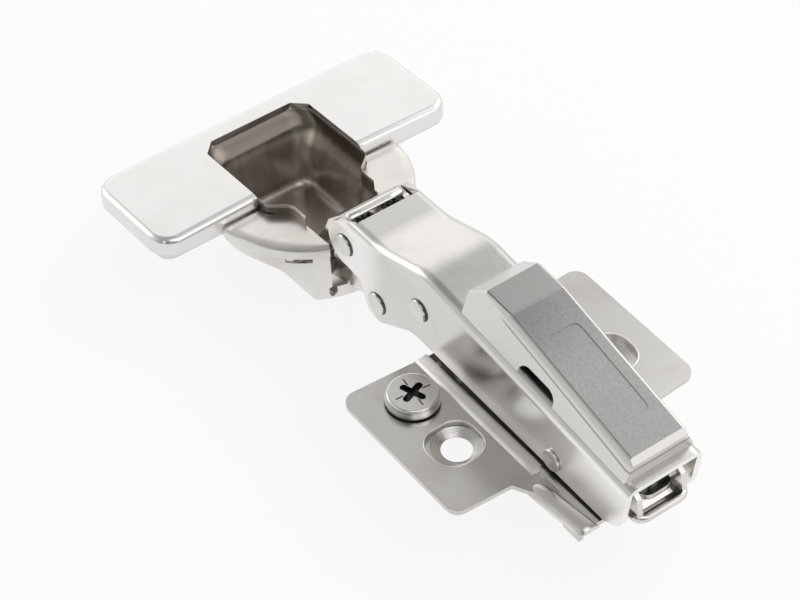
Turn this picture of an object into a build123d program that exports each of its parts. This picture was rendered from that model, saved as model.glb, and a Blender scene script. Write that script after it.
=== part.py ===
"""Concealed cup hinge for a cabinet door, drawn with the door 95 degrees open.

The origin lies between the two screw holes of the base plate, on the cabinet side.
X runs along the arm from the cup to the rear, Y along the plate's wings and Z up
from the cabinet side. Side profiles lie in the XZ plane, which is the plane of symmetry.
"""
import os
from math import acos, atan2, cos, degrees, hypot, radians, sin

from build123d import *

os.makedirs("parts", exist_ok=True)

# Fits between pieces
RUNNING_FIT = 0.05      # on a radius, pin in a turning eye
SIDE_GAP = 0.35         # between the nested channels
REST_GAP = 0.15         # where one piece pushes another
PAST = 0.5              # how far a cut runs past the face that it opens

# Base plate and mounting plate
BASE_SHEET = 1.0
PLATE_SHEET = 0.9
WING_HALF = 25.84
WING_FRONT = -19.4
WING_REAR = 12.0
WING_CORNER = 2.6
NECK_CORNER = 1.2
BASE_INSET = 0.6
SCREW_PITCH = 32.0
SCREW_HOLE = 5.4
SCREW_DISH = 9.0
SCREW_CONE = 135.0
DISH_RING = 9.6
DISH_STEP = 0.15
WINDOW_LENGTH = 8.75
WINDOW_WIDTH = 9.4
WINDOW_CENTRE = 16.5
WINDOW_CORNER = 3.6
LEDGE_RISE = 0.2
LEDGE_HALF = 9.3
SADDLE_HALF = 5.0
SADDLE_TOP = 9.0
SADDLE_FRONT = -16.0
SADDLE_REAR = 24.0
TAIL_REAR = 27.0
TAIL_HALF = 11.5

# Height cam
CAM_X = -11.7
CAM_Y = -16.2
CAM_THROW = 2.0
CAM_STUD = 4.0
CAM_BODY = 6.0
CAM_NECK = 7.0
CAM_HEAD = 9.6
CAM_HEAD_LOW = 2.3
CAM_HEAD_TOP = 4.0
CAM_FLANGE_TOP = 3.0
CAM_CROWN = 9.0
CAM_TURN = 60.0
CROSS_ARM = 2.5
CROSS_WIDTH = 1.3
CROSS_DEPTH = 1.2

# Arm
ARM_SHEET = 1.2
ARM_HALF = 7.9
ARM_BEND = 2.0
ARM_REAR = 32.5
CREST_X = -21.0
CREST_Z = 19.4
ARM_SLOPE = -0.107
WEB_FRONT = -40.2
WEB_FRONT_Z = 15.2
CREST_ROUND = 14.0
DIP_ROUND = 16.0
PIN = 3.0
PIN_HEAD = 4.2
PIN_HEAD_HIGH = 0.5
A1 = (-42.2, 9.3)       # outer link on the arm
A2 = (-32.8, 2.6)       # inner link on the arm
A3 = (-21.1, 10.6)      # damper on the arm
GUIDE = (14.4, 5.3)     # guide rivets
A1_LOBE = 4.6
A2_LOBE = 3.9

# Adapter inside the arm
ADAPTER_SHEET = 1.0
ADAPTER_FRONT = -12.0
ADAPTER_REAR = 29.5
ADAPTER_WEB_REAR = 24.0
ADAPTER_LOW = 2.75
ADAPTER_DROP = 0.55     # air between arm web and adapter web
HOOK = (-10.0, 6.5)
DEPTH_TRAVEL = 1.5

# Release lever
LEVER_PIVOT = (27.5, 10.4)
LEVER_PIN = 2.0
LEVER_HALF = 5.1
LEVER_SHEET = 1.0
LEVER_WIRE = 0.6
TOOTH_FRONT = 21.2
TOOTH_LOW = 8.2
TOOTH_HALF = 2.9
LEVER_WEB = 24.4
TONGUE_HALF = 3.1
TONGUE_LOW = 7.4
TONGUE_ROUND = 1.8
LIP_AT = (32.7, 5.2)
LIP_RADIUS = 0.8
LIP_HALF = 5.75

# Screws on the arm
SIDE_SCREW_X = -4.0
SIDE_SCREW = 4.0
SIDE_NECK = 2.6
SIDE_HEAD = 6.0
SIDE_HEAD_HIGH = 1.6
TILT_LIFT = 0.8
TILT_ROOM = 0.35
DEPTH_CAM_X = 9.0
DEPTH_THROW = DEPTH_TRAVEL / sin(radians(CAM_TURN))
DEPTH_JOURNAL = 6.0
DEPTH_ECCENTRIC = 4.0
DEPTH_HEAD = 7.5
DEPTH_HEAD_HIGH = 3.2
DEPTH_AIR = 0.55

# Arm cover
COVER_WALL = 1.0
COVER_EDGE = 0.7
COVER_BEVEL = 0.9
COVER_ARCH = 2.2
COVER_TOP_HALF = 5.65
COVER_SKIRT_HALF = 7.2
COVER_NOSE = (-10.6, 22.5)
COVER_BROW = (-6.6, 25.5)
COVER_RIDGE = (-0.4, 25.2)
COVER_REAR = (30.7, 17.9)
COVER_PANEL = (19.0, 6.4, 0.15)
COVER_WINDOW = (4.0, 12.8, 2.6)

# Links
LINK_SHEET = 1.2
OUTER_HALF = 6.4
OUTER_EYE = 3.6
OUTER_WEB_LOW = 4.6
INNER_HALF = 4.9
INNER_EYE = 3.2
INNER_NOSE = 2.0
NOSE_REACH = 0.38
CUP_PIN = 2.2
CUP_EYE = 2.4
SLOT_IN = 1.8
SLOT_OUT = 0.93
SLOT_SIDE = 0.48
HEEL_X = -33.95
HEEL_HALF = 3.0
HEEL_TOP = 13.2

# Damper and closing spring
DAMPER_FRONT = -29.0
DAMPER_REAR = -16.2
DAMPER_HALF = 5.2
ROD = 2.2
ROD_TRAVEL = 1.7
ROD_Z = 12.3
ROD_INSIDE = 4.0
SPRING_WIRE = 1.1
SPRING_RADIUS = 2.65
SPRING_TURNS = 3
SPRING_SIDE = 0.7

# Cup, drawn in its own tilted frame with W up from the door and U away from the arm
CUP_TILT = 5.27
CUP_AT = (-62.92, 6.42)
CUP_CENTRE = 1.0
BORE_RADIUS = 17.5
BORE_LOW = -7.9
RIM_FLANGE = 1.0
RIM_RADIUS = BORE_RADIUS + RIM_FLANGE
RIM_TOP = -3.4
RIM_LOW = -4.6
BOX_HALF = 10.1
BOX_STEP = 0.3
BOX_RADIUS = BORE_RADIUS - BOX_STEP
BOX_LOW = -17.1
BOX_FLOOR = -16.3
BOX_EDGE = 2.0
POCKET_HALF = 9.0
MOUTH_HALF = 11.3
THROAT_HALF = 7.65
THROAT_U = 5.0
MOUTH_BACK = 16.8
MOUTH_CORNER = 5.0
MOUTH_LOW = -9.0
BOSS_WALL = 1.2
STAPLE_ROOM = 2.2
STAPLE_TOP = -5.6
POCKET_BACK = 16.0
POCKET_CORNER = 3.2
POCKET_FILLET = 1.8
SILL = -13.5
C1 = (-10.44, -8.17)    # outer link on the cup
C2 = (-8.44, -12.2)     # inner link on the cup
SHELL_LONG = 64.0
SHELL_FIT = 0.3         # between the cover's wall and the wings that it clips on
SHELL_WALL = 0.7
CUP_WING_HALF = SHELL_LONG / 2 - SHELL_WALL - SHELL_FIT
CUP_WING_DEEP = 21.4
CUP_WING_MIDDLE = 11.7
CUP_SCREW_PITCH = 48.0
CUP_SCREW_U = 7.0
CUP_SCREW_HOLE = 5.3

# Cup cover
SHELL_DEEP = 23.4
SHELL_CORNER = 4.6
RIB_INSET = 0.7
SHELL_WINDOW = 19.2
SHELL_TAPER = 0.7
SHELL_CHAMFER = 2.6
SHELL_ROUND = 1.3

# Values that follow from the sizes above
plate_low = BASE_SHEET
plate_top = BASE_SHEET + PLATE_SHEET
ledge_top = plate_top + LEDGE_RISE
arm_inner = ARM_HALF - ARM_SHEET
adapter_half = arm_inner - SIDE_GAP
adapter_inner = adapter_half - ADAPTER_SHEET
slope_angle = atan2(ARM_SLOPE, 1)
wall_normal = Vector(-sin(slope_angle), 0, cos(slope_angle))


def arm_top(x):
    """Height of the arm's straight rear slope at x."""
    return CREST_Z + ARM_SLOPE * (x - CREST_X)


def web_plane(x, drop=0.0):
    """Plane square to the arm's rear slope, drop below its upper face."""
    origin = Vector(x, 0, arm_top(x)) - wall_normal * drop
    return Plane(origin=origin, x_dir=(wall_normal.Z, 0, -wall_normal.X), z_dir=wall_normal)


def side_plane(y):
    """Plane at y whose own x and y are the part's X and Z and that faces towards minus Y."""
    return Plane.XZ.offset(-y)


tilt = radians(CUP_TILT)
cup_plane = Plane(
    origin=(CUP_AT[0], 0, CUP_AT[1]),
    x_dir=(cos(tilt), 0, sin(tilt)),
    z_dir=(-sin(tilt), 0, cos(tilt)),
)


def cup_level(w):
    """Plane parallel to the door at height w of the cup frame, local x is minus U."""
    return cup_plane.offset(w)


def from_cup(point):
    """Side profile point of the part for a (u, w) point of the cup."""
    u, w = point
    x = CUP_AT[0] - u * cos(tilt) - w * sin(tilt)
    return (x, CUP_AT[1] - u * sin(tilt) + w * cos(tilt))


P1 = from_cup(C1)
P2 = from_cup(C2)


def on_circle(centre, radius, angle):
    """Point of a circle in the side profile, angle in degrees from X towards Z."""
    return (centre[0] + radius * cos(radians(angle)), centre[1] + radius * sin(radians(angle)))


def tangent_point(centre, radius, point, side):
    """Where the tangent from a point meets a circle; side is 1 to its left, -1 to its right."""
    reach = (point[0] - centre[0], point[1] - centre[1])
    angle = atan2(reach[1], reach[0]) + side * acos(radius / hypot(*reach))
    return on_circle(centre, radius, degrees(angle))


def inset(points, depth):
    """Open outline moved depth to the right of its direction, with mitred corners."""
    moved = []
    for i, point in enumerate(points):
        before = points[max(i - 1, 0)]
        after = points[min(i + 1, len(points) - 1)]
        turns = []
        for start, end in ((before, point), (point, after)):
            if start != end:
                turns.append(atan2(end[1] - start[1], end[0] - start[0]))
        middle = sum(turns) / len(turns)
        mitre = depth / cos(turns[-1] - middle)
        moved.append((point[0] + mitre * sin(middle), point[1] - mitre * cos(middle)))
    return moved

# Base plate: flat cross with dished screw holes and the slot for the cam's stud
with BuildPart() as base_plate:
    with BuildSketch(Plane.XY):
        with Locations(((WING_FRONT + WING_REAR) / 2, 0)):
            Rectangle(WING_REAR - WING_FRONT - 2 * BASE_INSET, 2 * (WING_HALF - BASE_INSET))
        with Locations(((WING_FRONT + TAIL_REAR) / 2, 0)):
            Rectangle(TAIL_REAR - WING_FRONT - 6 * BASE_INSET, 2 * (LEDGE_HALF - BASE_INSET))
    extrude(amount=BASE_SHEET)
    wing_corners = base_plate.edges().filter_by(Axis.Z).filter_by(
        lambda edge: abs(edge.center().Y) > LEDGE_HALF)
    fillet(wing_corners, WING_CORNER - BASE_INSET)
    with BuildSketch(Plane.XY.offset(BASE_SHEET)):
        with GridLocations(0, SCREW_PITCH, 1, 2):
            Circle(DISH_RING / 2)
    extrude(amount=-DISH_STEP, mode=Mode.SUBTRACT)
    with Locations(*[(0, side * SCREW_PITCH / 2, BASE_SHEET - DISH_STEP) for side in (-1, 1)]):
        CounterSinkHole(SCREW_HOLE / 2, SCREW_DISH / 2, counter_sink_angle=SCREW_CONE)
    with BuildSketch(Plane.XY):
        with Locations((CAM_X + CAM_THROW * (1 + cos(radians(CAM_TURN))) / 2, CAM_Y)):
            SlotOverall(CAM_STUD + CAM_THROW * (1 - cos(radians(CAM_TURN))) + 0.4, CAM_STUD + 0.4)
    extrude(amount=BASE_SHEET, mode=Mode.SUBTRACT)
base_plate.part.label = "base_plate"
export_step(base_plate.part, "parts/base_plate.step")

# Mounting plate: wings, an S-bend up to the ledge, and the saddle channel that carries the arm
with BuildPart() as mounting_plate:
    with BuildSketch(Plane.XY.offset(plate_low)) as outline:
        with BuildLine():
            for side in (-1, 1):
                Polyline(
                    (WING_FRONT + 1.6, 0), (WING_FRONT + 1.0, side * (LEDGE_HALF + 0.6)),
                    (WING_FRONT, side * WING_HALF), (WING_REAR, side * WING_HALF),
                    (WING_REAR + 0.6, side * 14.6), (WING_REAR + 4.4, side * 12.4),
                    (TAIL_REAR - 4, side * TAIL_HALF), (TAIL_REAR, side * TAIL_HALF),
                    (TAIL_REAR, 0))
        make_face()
        tips = outline.vertices().filter_by(lambda corner: abs(corner.Y) > WING_HALF - 0.1)
        necks = outline.vertices().filter_by(lambda corner: LEDGE_HALF < abs(corner.Y) < WING_HALF - 0.1)
        fillet(tips, WING_CORNER)
        fillet(necks, NECK_CORNER)
    extrude(amount=PLATE_SHEET)
    with BuildSketch(Plane.XY.offset(plate_low)):
        Rectangle(4 * TAIL_REAR, 2 * LEDGE_HALF)
    extrude(amount=PLATE_SHEET, mode=Mode.SUBTRACT)
    bend = LEDGE_HALF + 0.5
    with BuildSketch(Plane.YZ.offset(SADDLE_FRONT)):
        with BuildLine():
            for side in (-1, 1):
                FilletPolyline(
                    (side * bend, plate_top), (side * (LEDGE_HALF - 0.1), plate_top),
                    (side * (LEDGE_HALF - 0.6), ledge_top), (side * SADDLE_HALF, ledge_top),
                    (side * SADDLE_HALF, SADDLE_TOP), (0, SADDLE_TOP), radius=0.2)
                FilletPolyline(
                    (side * bend, plate_low), (side * (LEDGE_HALF - 0.2), plate_low),
                    (side * (LEDGE_HALF - 0.9), ledge_top - PLATE_SHEET),
                    (side * (SADDLE_HALF - PLATE_SHEET), ledge_top - PLATE_SHEET),
                    (side * (SADDLE_HALF - PLATE_SHEET), SADDLE_TOP - PLATE_SHEET),
                    (0, SADDLE_TOP - PLATE_SHEET), radius=0.2)
                Line((side * bend, plate_low), (side * bend, plate_top))
        make_face()
    extrude(amount=TAIL_REAR - SADDLE_FRONT)
    with BuildSketch(side_plane(-SADDLE_HALF - 0.01)):
        with BuildLine():
            Polyline((SADDLE_REAR - 0.2, SADDLE_TOP + 1), (SADDLE_REAR, SADDLE_TOP - 2),
                     (SADDLE_REAR + 1, ledge_top + 0.01), (TAIL_REAR + 1, ledge_top + 0.01),
                     (TAIL_REAR + 1, SADDLE_TOP + 1), close=True)
        make_face()
        with Locations((HOOK[0] - 4, HOOK[1])):
            SlotOverall(8 + PIN, PIN)
        with Locations((SADDLE_FRONT, SADDLE_TOP)):
            Rectangle(2.4, 2.4, rotation=45)
    extrude(amount=-2 * SADDLE_HALF - 0.02, mode=Mode.SUBTRACT)
    with BuildSketch(Plane.XY.offset(plate_low)):
        with GridLocations(0, 2 * WINDOW_CENTRE, 1, 2):
            RectangleRounded(WINDOW_LENGTH, WINDOW_WIDTH, WINDOW_CORNER)
        with Locations((CAM_X, CAM_Y)):
            Circle(CAM_BODY / 2 + RUNNING_FIT)
    extrude(amount=PLATE_SHEET, mode=Mode.SUBTRACT)
    with BuildSketch(Plane.XY.offset(SADDLE_TOP)):
        with Locations((SADDLE_REAR - 2.2, 0)):
            Rectangle(2.6, 6.4)
    extrude(amount=-PLATE_SHEET, mode=Mode.SUBTRACT)
    with BuildSketch(Plane.YZ.offset(TAIL_REAR - 4)):
        for side in (-1, 1):
            with BuildLine():
                Line((side * TAIL_HALF, plate_top), (side * (TAIL_HALF - 1), plate_top))
                RadiusArc((side * TAIL_HALF, plate_top), (side * (TAIL_HALF + 0.9), plate_top - 0.9), side * 0.9)
                Line((side * (TAIL_HALF + 0.9), plate_top - 0.9), (side * (TAIL_HALF + 0.9), 0.05))
                Line((side * (TAIL_HALF + 0.9), 0.05), (side * TAIL_HALF, 0.05))
                Line((side * TAIL_HALF, 0.05), (side * TAIL_HALF, plate_low))
                Line((side * TAIL_HALF, plate_low), (side * (TAIL_HALF - 1), plate_low))
                Line((side * (TAIL_HALF - 1), plate_low), (side * (TAIL_HALF - 1), plate_top))
            make_face()
    extrude(amount=4)
mounting_plate.part.label = "mounting_plate"
export_step(mounting_plate.part, "parts/mounting_plate.step")

# Height cam: crossed head, neck and body in the upper plate, eccentric stud in the base slot
with BuildPart() as height_cam:
    with BuildSketch(Plane.XY.offset(CAM_HEAD_LOW)):
        with Locations((CAM_X, CAM_Y)):
            Circle(CAM_HEAD / 2)
    extrude(amount=CAM_FLANGE_TOP - CAM_HEAD_LOW)
    with BuildSketch(Plane.XY.offset(CAM_FLANGE_TOP)):
        with Locations((CAM_X, CAM_Y)):
            Circle(CAM_CROWN / 2)
    extrude(amount=CAM_HEAD_TOP - CAM_FLANGE_TOP)
    fillet(height_cam.edges().filter_by(GeomType.CIRCLE).group_by(Axis.Z)[-1], 0.4)
    with BuildSketch(Plane.XY.offset(plate_top)):
        with Locations((CAM_X, CAM_Y)):
            Circle(CAM_NECK / 2)
    extrude(amount=CAM_HEAD_LOW - plate_top)
    with BuildSketch(Plane.XY.offset(plate_low)):
        with Locations((CAM_X, CAM_Y)):
            Circle(CAM_BODY / 2)
    extrude(amount=PLATE_SHEET)
    with BuildSketch(Plane.XY):
        with Locations((CAM_X + CAM_THROW, CAM_Y)):
            Circle(CAM_STUD / 2)
    extrude(amount=BASE_SHEET)
    with BuildSketch(Plane.XY.offset(CAM_HEAD_TOP)):
        with Locations((CAM_X, CAM_Y)):
            SlotCenterToCenter(2 * CROSS_ARM - CROSS_WIDTH, CROSS_WIDTH, rotation=20)
            SlotCenterToCenter(2 * CROSS_ARM - CROSS_WIDTH, CROSS_WIDTH, rotation=110)
    extrude(amount=-CROSS_DEPTH, mode=Mode.SUBTRACT)
height_cam.part.label = "height_cam"
export_step(height_cam.part, "parts/height_cam.step")


# Arm: one folded sheet with a crest and a straight slope above and lobes for the links in front
arm_ridge = [
    (WEB_FRONT, WEB_FRONT_Z),
    (-33.0, 15.5),
    (CREST_X, CREST_Z),
    (ARM_REAR, arm_top(ARM_REAR)),
]
arm_belly = [(31.4, 4.4), (27.5, 2.65), (-21.5, 3.8), (-23.5, 3.5)]
arm_joggle = (-37.2, 4.2)
with BuildPart() as arm:
    with BuildSketch(side_plane(-ARM_HALF)) as flange:
        with BuildLine():
            Polyline(
                tangent_point(A1, A1_LOBE, arm_ridge[0], 1), *arm_ridge, *arm_belly,
                tangent_point(A2, A2_LOBE, arm_belly[-1], -1), A2,
                tangent_point(A2, A2_LOBE, arm_joggle, 1), arm_joggle,
                on_circle(A1, A1_LOBE, -80), A1, close=True)
        make_face()
        with Locations(A1):
            Circle(A1_LOBE)
        with Locations(A2):
            Circle(A2_LOBE)
        for corner, radius in ((arm_ridge[2], CREST_ROUND), (arm_ridge[1], DIP_ROUND), (arm_belly[0], 2.5)):
            fillet(flange.vertices().sort_by_distance(Vector(*corner))[0], radius)
    extrude(amount=-2 * ARM_HALF)
    folds = arm.edges().filter_by(
        lambda edge: abs(abs(edge.center().Y) - ARM_HALF) < 0.01
        and edge.center().Z > 13.3 and edge.center().X > WEB_FRONT)
    fillet(folds, ARM_BEND)
    under_web = inset(arm_ridge, ARM_SHEET)
    with BuildSketch(side_plane(-arm_inner)) as hollow:
        with BuildLine():
            Polyline(
                (WEB_FRONT - 20, -20), (WEB_FRONT - 20, 30), (WEB_FRONT, 30),
                (WEB_FRONT, under_web[0][1]), *under_web[1:], (ARM_REAR + 9, arm_top(ARM_REAR + 9) - ARM_SHEET),
                (ARM_REAR + 9, -20), close=True)
        make_face()
        for corner, radius in (
                (under_web[2], CREST_ROUND - ARM_SHEET), (under_web[1], DIP_ROUND + ARM_SHEET)):
            fillet(hollow.vertices().sort_by_distance(Vector(*corner))[0], radius)
    extrude(amount=-2 * arm_inner, mode=Mode.SUBTRACT)
    with BuildSketch(side_plane(-ARM_HALF)):
        with Locations(A1, A2, A3):
            Circle(PIN / 2)
        with Locations(GUIDE):
            Circle(PIN / 2 + RUNNING_FIT)
    extrude(amount=-2 * ARM_HALF, mode=Mode.SUBTRACT)
    with BuildSketch(web_plane(SIDE_SCREW_X)):
        Circle(SIDE_SCREW / 2 + RUNNING_FIT)
    extrude(amount=-2 * ARM_SHEET, mode=Mode.SUBTRACT)
    with BuildSketch(web_plane(DEPTH_CAM_X)):
        with Locations((0, DEPTH_THROW * (1 + cos(radians(CAM_TURN))) / 2)):
            SlotOverall(DEPTH_ECCENTRIC + DEPTH_THROW * (1 - cos(radians(CAM_TURN))) + 0.6,
                        DEPTH_ECCENTRIC + 2 * TILT_ROOM, rotation=90)
    extrude(amount=-2 * ARM_SHEET, mode=Mode.SUBTRACT)
arm.part.label = "arm"
export_step(arm.part, "parts/arm.step")


# Arm cover: tapering cap with a sloping nose, open below, with a window over the depth cam
with BuildPart() as arm_cover:
    rear_x, rear_top = COVER_REAR
    outside = [COVER_NOSE, COVER_BROW, COVER_RIDGE, (rear_x - COVER_BEVEL, rear_top + 0.2),
               (rear_x, rear_top - COVER_BEVEL)]
    for x, top in outside:
        flare = COVER_TOP_HALF + (COVER_SKIRT_HALF - COVER_TOP_HALF) * 0.2
        half = flare if x == COVER_NOSE[0] else COVER_TOP_HALF
        with BuildSketch(Plane.YZ.offset(x)):
            with BuildLine():
                Polyline((-COVER_SKIRT_HALF, arm_top(x)), (-half, top), (half, top),
                         (COVER_SKIRT_HALF, arm_top(x)), close=True)
            make_face()
    loft(ruled=True)
    ridge_edges = arm_cover.edges().filter_by(
        lambda edge: edge.center().Z > arm_top(edge.center().X) + 3 and abs(edge.center().Y) > 3)
    fillet(ridge_edges.filter_by(
        lambda edge: abs(edge.tangent_at(0.5).X) > 0.5 and edge.center().X < rear_x - COVER_BEVEL), COVER_EDGE)
    for x, top in (COVER_NOSE, COVER_BROW, COVER_RIDGE, COVER_REAR):
        inner_x = min(max(x, COVER_NOSE[0] + COVER_WALL), rear_x - COVER_WALL)
        with BuildSketch(Plane.YZ.offset(inner_x)):
            with BuildLine():
                Polyline(
                    (-COVER_SKIRT_HALF + COVER_WALL, arm_top(inner_x) - 0.5),
                    (-COVER_TOP_HALF + COVER_WALL, top - COVER_WALL),
                    (COVER_TOP_HALF - COVER_WALL, top - COVER_WALL),
                    (COVER_SKIRT_HALF - COVER_WALL, arm_top(inner_x) - 0.5), close=True)
            make_face()
    loft(ruled=True, mode=Mode.SUBTRACT)
    with BuildSketch(side_plane(-COVER_SKIRT_HALF)) as window:
        with BuildLine():
            front, rear, high = COVER_WINDOW
            Polyline((front, arm_top(front) - 1), (front, arm_top(front) + high),
                     (rear, arm_top(rear) + high), (rear, arm_top(rear) - 1), close=True)
        make_face()
        fillet(window.vertices().sort_by(Axis.Y)[-2:], COVER_ARCH)
    extrude(amount=-2 * COVER_SKIRT_HALF, mode=Mode.SUBTRACT)
    panel_long, panel_wide, panel_deep = COVER_PANEL
    fall = (COVER_REAR[1] - COVER_RIDGE[1]) / (COVER_REAR[0] - COVER_RIDGE[0])
    middle = (COVER_RIDGE[0] + COVER_REAR[0]) / 2
    top_face = Plane(
        origin=(middle, 0, COVER_RIDGE[1] + fall * (middle - COVER_RIDGE[0])),
        x_dir=(1, 0, fall), z_dir=(-fall, 0, 1))
    with BuildSketch(top_face):
        RectangleRounded(panel_long, panel_wide, 1.2)
    extrude(amount=-panel_deep, mode=Mode.SUBTRACT)
arm_cover.part.label = "arm_cover"
export_step(arm_cover.part, "parts/arm_cover.step")


def cross_pin(name, at, half):
    """Headed pin across the arm; half is where its heads start."""
    with BuildPart() as pin:
        with BuildSketch(side_plane(-half)):
            with Locations(at):
                Circle(PIN / 2)
        extrude(amount=-2 * half)
        for side in (-1, 1):
            with BuildSketch(side_plane(side * half)):
                with Locations(at):
                    Circle(PIN_HEAD / 2)
            extrude(amount=-side * PIN_HEAD_HIGH)
            rim = pin.edges().filter_by(GeomType.CIRCLE).sort_by(Axis.Y)[0 if side < 0 else -1]
            fillet(rim, PIN_HEAD_HIGH * 0.6)
    pin.part.label = name
    export_step(pin.part, f"parts/{name}.step")
    return pin.part


arm_pin_front = cross_pin("arm_pin_front", A1, ARM_HALF)
arm_pin_lower = cross_pin("arm_pin_lower", A2, ARM_HALF)
damper_pin = cross_pin("damper_pin", A3, ARM_HALF)

# Adapter: inner channel that clips on the saddle and carries the screws
adapter_ridge = [(x, arm_top(x) - ARM_SHEET - ADAPTER_DROP) for x in (ADAPTER_FRONT, ADAPTER_WEB_REAR)]
lever_round = ADAPTER_REAR - LEVER_PIVOT[0]
with BuildPart() as adapter:
    with BuildSketch(side_plane(-adapter_half)) as wall:
        with BuildLine():
            Polyline(
                *adapter_ridge, tangent_point(LEVER_PIVOT, lever_round, adapter_ridge[1], -1),
                LEVER_PIVOT, on_circle(LEVER_PIVOT, lever_round, 0), (ADAPTER_REAR, 6.5),
                (ADAPTER_REAR - 3, ADAPTER_LOW), (ADAPTER_FRONT + 1.5, ADAPTER_LOW),
                (ADAPTER_FRONT, ADAPTER_LOW + 2), close=True)
        make_face()
        with Locations(LEVER_PIVOT):
            Circle(lever_round)
    extrude(amount=-2 * adapter_half)
    folds = adapter.edges().filter_by(
        lambda edge: abs(abs(edge.center().Y) - adapter_half) < 0.01
        and edge.center().Z > 14 and edge.length > 20)
    fillet(folds, 1.4)
    under_web = inset(adapter_ridge, ADAPTER_SHEET)
    with BuildSketch(side_plane(-adapter_inner)):
        with BuildLine():
            Polyline(
                (ADAPTER_FRONT - 1, under_web[0][1]), under_web[1], (ADAPTER_WEB_REAR, 30),
                (ADAPTER_REAR + 9, 30), (ADAPTER_REAR + 9, 0), (ADAPTER_FRONT - 1, 0), close=True)
        make_face()
    extrude(amount=-2 * adapter_inner, mode=Mode.SUBTRACT)
    with BuildSketch(side_plane(-adapter_half)):
        with Locations(HOOK):
            Circle(PIN / 2)
        with Locations(LEVER_PIVOT):
            Circle(LEVER_PIN / 2)
        with Locations(GUIDE):
            SlotOverall(PIN + 2 * RUNNING_FIT + 2 * DEPTH_TRAVEL, PIN + 2 * RUNNING_FIT)
    extrude(amount=-2 * adapter_half, mode=Mode.SUBTRACT)
    with BuildSketch(web_plane(DEPTH_CAM_X, ARM_SHEET)):
        Circle(DEPTH_JOURNAL / 2 + RUNNING_FIT)
    extrude(amount=-4, mode=Mode.SUBTRACT)
    with BuildSketch(web_plane(SIDE_SCREW_X, ARM_SHEET)):
        with Locations((0.2, 0)):
            SlotOverall(SIDE_NECK + 2 * DEPTH_TRAVEL + 0.9, SIDE_NECK + 0.2)
    extrude(amount=-4, mode=Mode.SUBTRACT)
adapter.part.label = "adapter"
export_step(adapter.part, "parts/adapter.step")

# Hook pin that seats in the saddle's front notch, and the pin of the release lever
with BuildPart() as hook_pin:
    with BuildSketch(side_plane(-adapter_half)):
        with Locations(HOOK):
            Circle(PIN / 2)
    extrude(amount=-2 * adapter_half)
hook_pin.part.label = "hook_pin"
export_step(hook_pin.part, "parts/hook_pin.step")

with BuildPart() as lever_pin:
    with BuildSketch(side_plane(-adapter_half)):
        with Locations(LEVER_PIVOT):
            Circle(LEVER_PIN / 2)
    extrude(amount=-2 * adapter_half)
lever_pin.part.label = "lever_pin"
export_step(lever_pin.part, "parts/lever_pin.step")

# Guide rivets: the arm tilts on them and they slide in the adapter's slots
with BuildPart() as guide_rivets:
    for side in (-1, 1):
        for near, far, radius in (
                (adapter_inner - 0.28, adapter_inner - 0.05, PIN_HEAD / 2),
                (adapter_inner - 0.05, ARM_HALF, PIN / 2),
                (ARM_HALF + RUNNING_FIT, ARM_HALF + PIN_HEAD_HIGH, PIN_HEAD / 2)):
            with BuildSketch(side_plane(side * near)):
                with Locations(GUIDE):
                    Circle(radius)
            extrude(amount=-side * (far - near + (RUNNING_FIT if radius == PIN / 2 else 0)))
        rim = guide_rivets.edges().filter_by(GeomType.CIRCLE).sort_by(Axis.Y)[0 if side < 0 else -1]
        fillet(rim, PIN_HEAD_HIGH * 0.5)
guide_rivets.part.label = "guide_rivets"
export_step(guide_rivets.part, "parts/guide_rivets.step")

# Depth cam: journal in the adapter, eccentric in the arm's slot, slotted head under the cover
cam_shoulder = ARM_SHEET + DEPTH_AIR - REST_GAP
cam_steps = (
    (DEPTH_HEAD_HIGH, -DEPTH_AIR, DEPTH_HEAD, 0),
    (-DEPTH_AIR, cam_shoulder, DEPTH_ECCENTRIC, DEPTH_THROW),
    (cam_shoulder, ARM_SHEET + ADAPTER_DROP + ADAPTER_SHEET + 0.6, DEPTH_JOURNAL, 0),
)
with BuildPart() as depth_cam:
    for upper, lower, diameter, throw in cam_steps:
        start = -upper if upper == DEPTH_HEAD_HIGH else upper
        with BuildSketch(web_plane(DEPTH_CAM_X, start)):
            with Locations((0, throw)):
                Circle(diameter / 2)
        extrude(amount=start - lower)
    with BuildSketch(web_plane(DEPTH_CAM_X, -DEPTH_HEAD_HIGH)):
        Rectangle(1.2, DEPTH_HEAD)
    extrude(amount=-1.2, mode=Mode.SUBTRACT)
depth_cam.part.label = "depth_cam"
export_step(depth_cam.part, "parts/depth_cam.step")

# Side screw: threaded in the arm's web, its neck and collar float in the adapter's slot
with BuildPart() as side_screw:
    with BuildSketch(web_plane(SIDE_SCREW_X, -SIDE_HEAD_HIGH)):
        Circle(SIDE_HEAD / 2)
    extrude(amount=-(SIDE_HEAD_HIGH - 0.1))
    with BuildSketch(web_plane(SIDE_SCREW_X, -0.1)):
        Circle(SIDE_SCREW / 2)
    extrude(amount=-(0.1 + ARM_SHEET + ADAPTER_DROP / 2))
    with BuildSketch(web_plane(SIDE_SCREW_X, ARM_SHEET + ADAPTER_DROP / 2)):
        Circle(SIDE_NECK / 2)
    extrude(amount=-(ADAPTER_DROP / 2 + ADAPTER_SHEET + TILT_LIFT))
    with BuildSketch(web_plane(SIDE_SCREW_X, ARM_SHEET + ADAPTER_DROP + ADAPTER_SHEET + TILT_LIFT)):
        Circle(SIDE_SCREW / 2)
    extrude(amount=-0.8)
    with BuildSketch(web_plane(SIDE_SCREW_X, -SIDE_HEAD_HIGH)):
        SlotOverall(3.4, 1.0)
        SlotOverall(3.4, 1.0, rotation=90)
    extrude(amount=-1.0, mode=Mode.SUBTRACT)
side_screw.part.label = "side_screw"
export_step(side_screw.part, "parts/side_screw.step")

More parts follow.
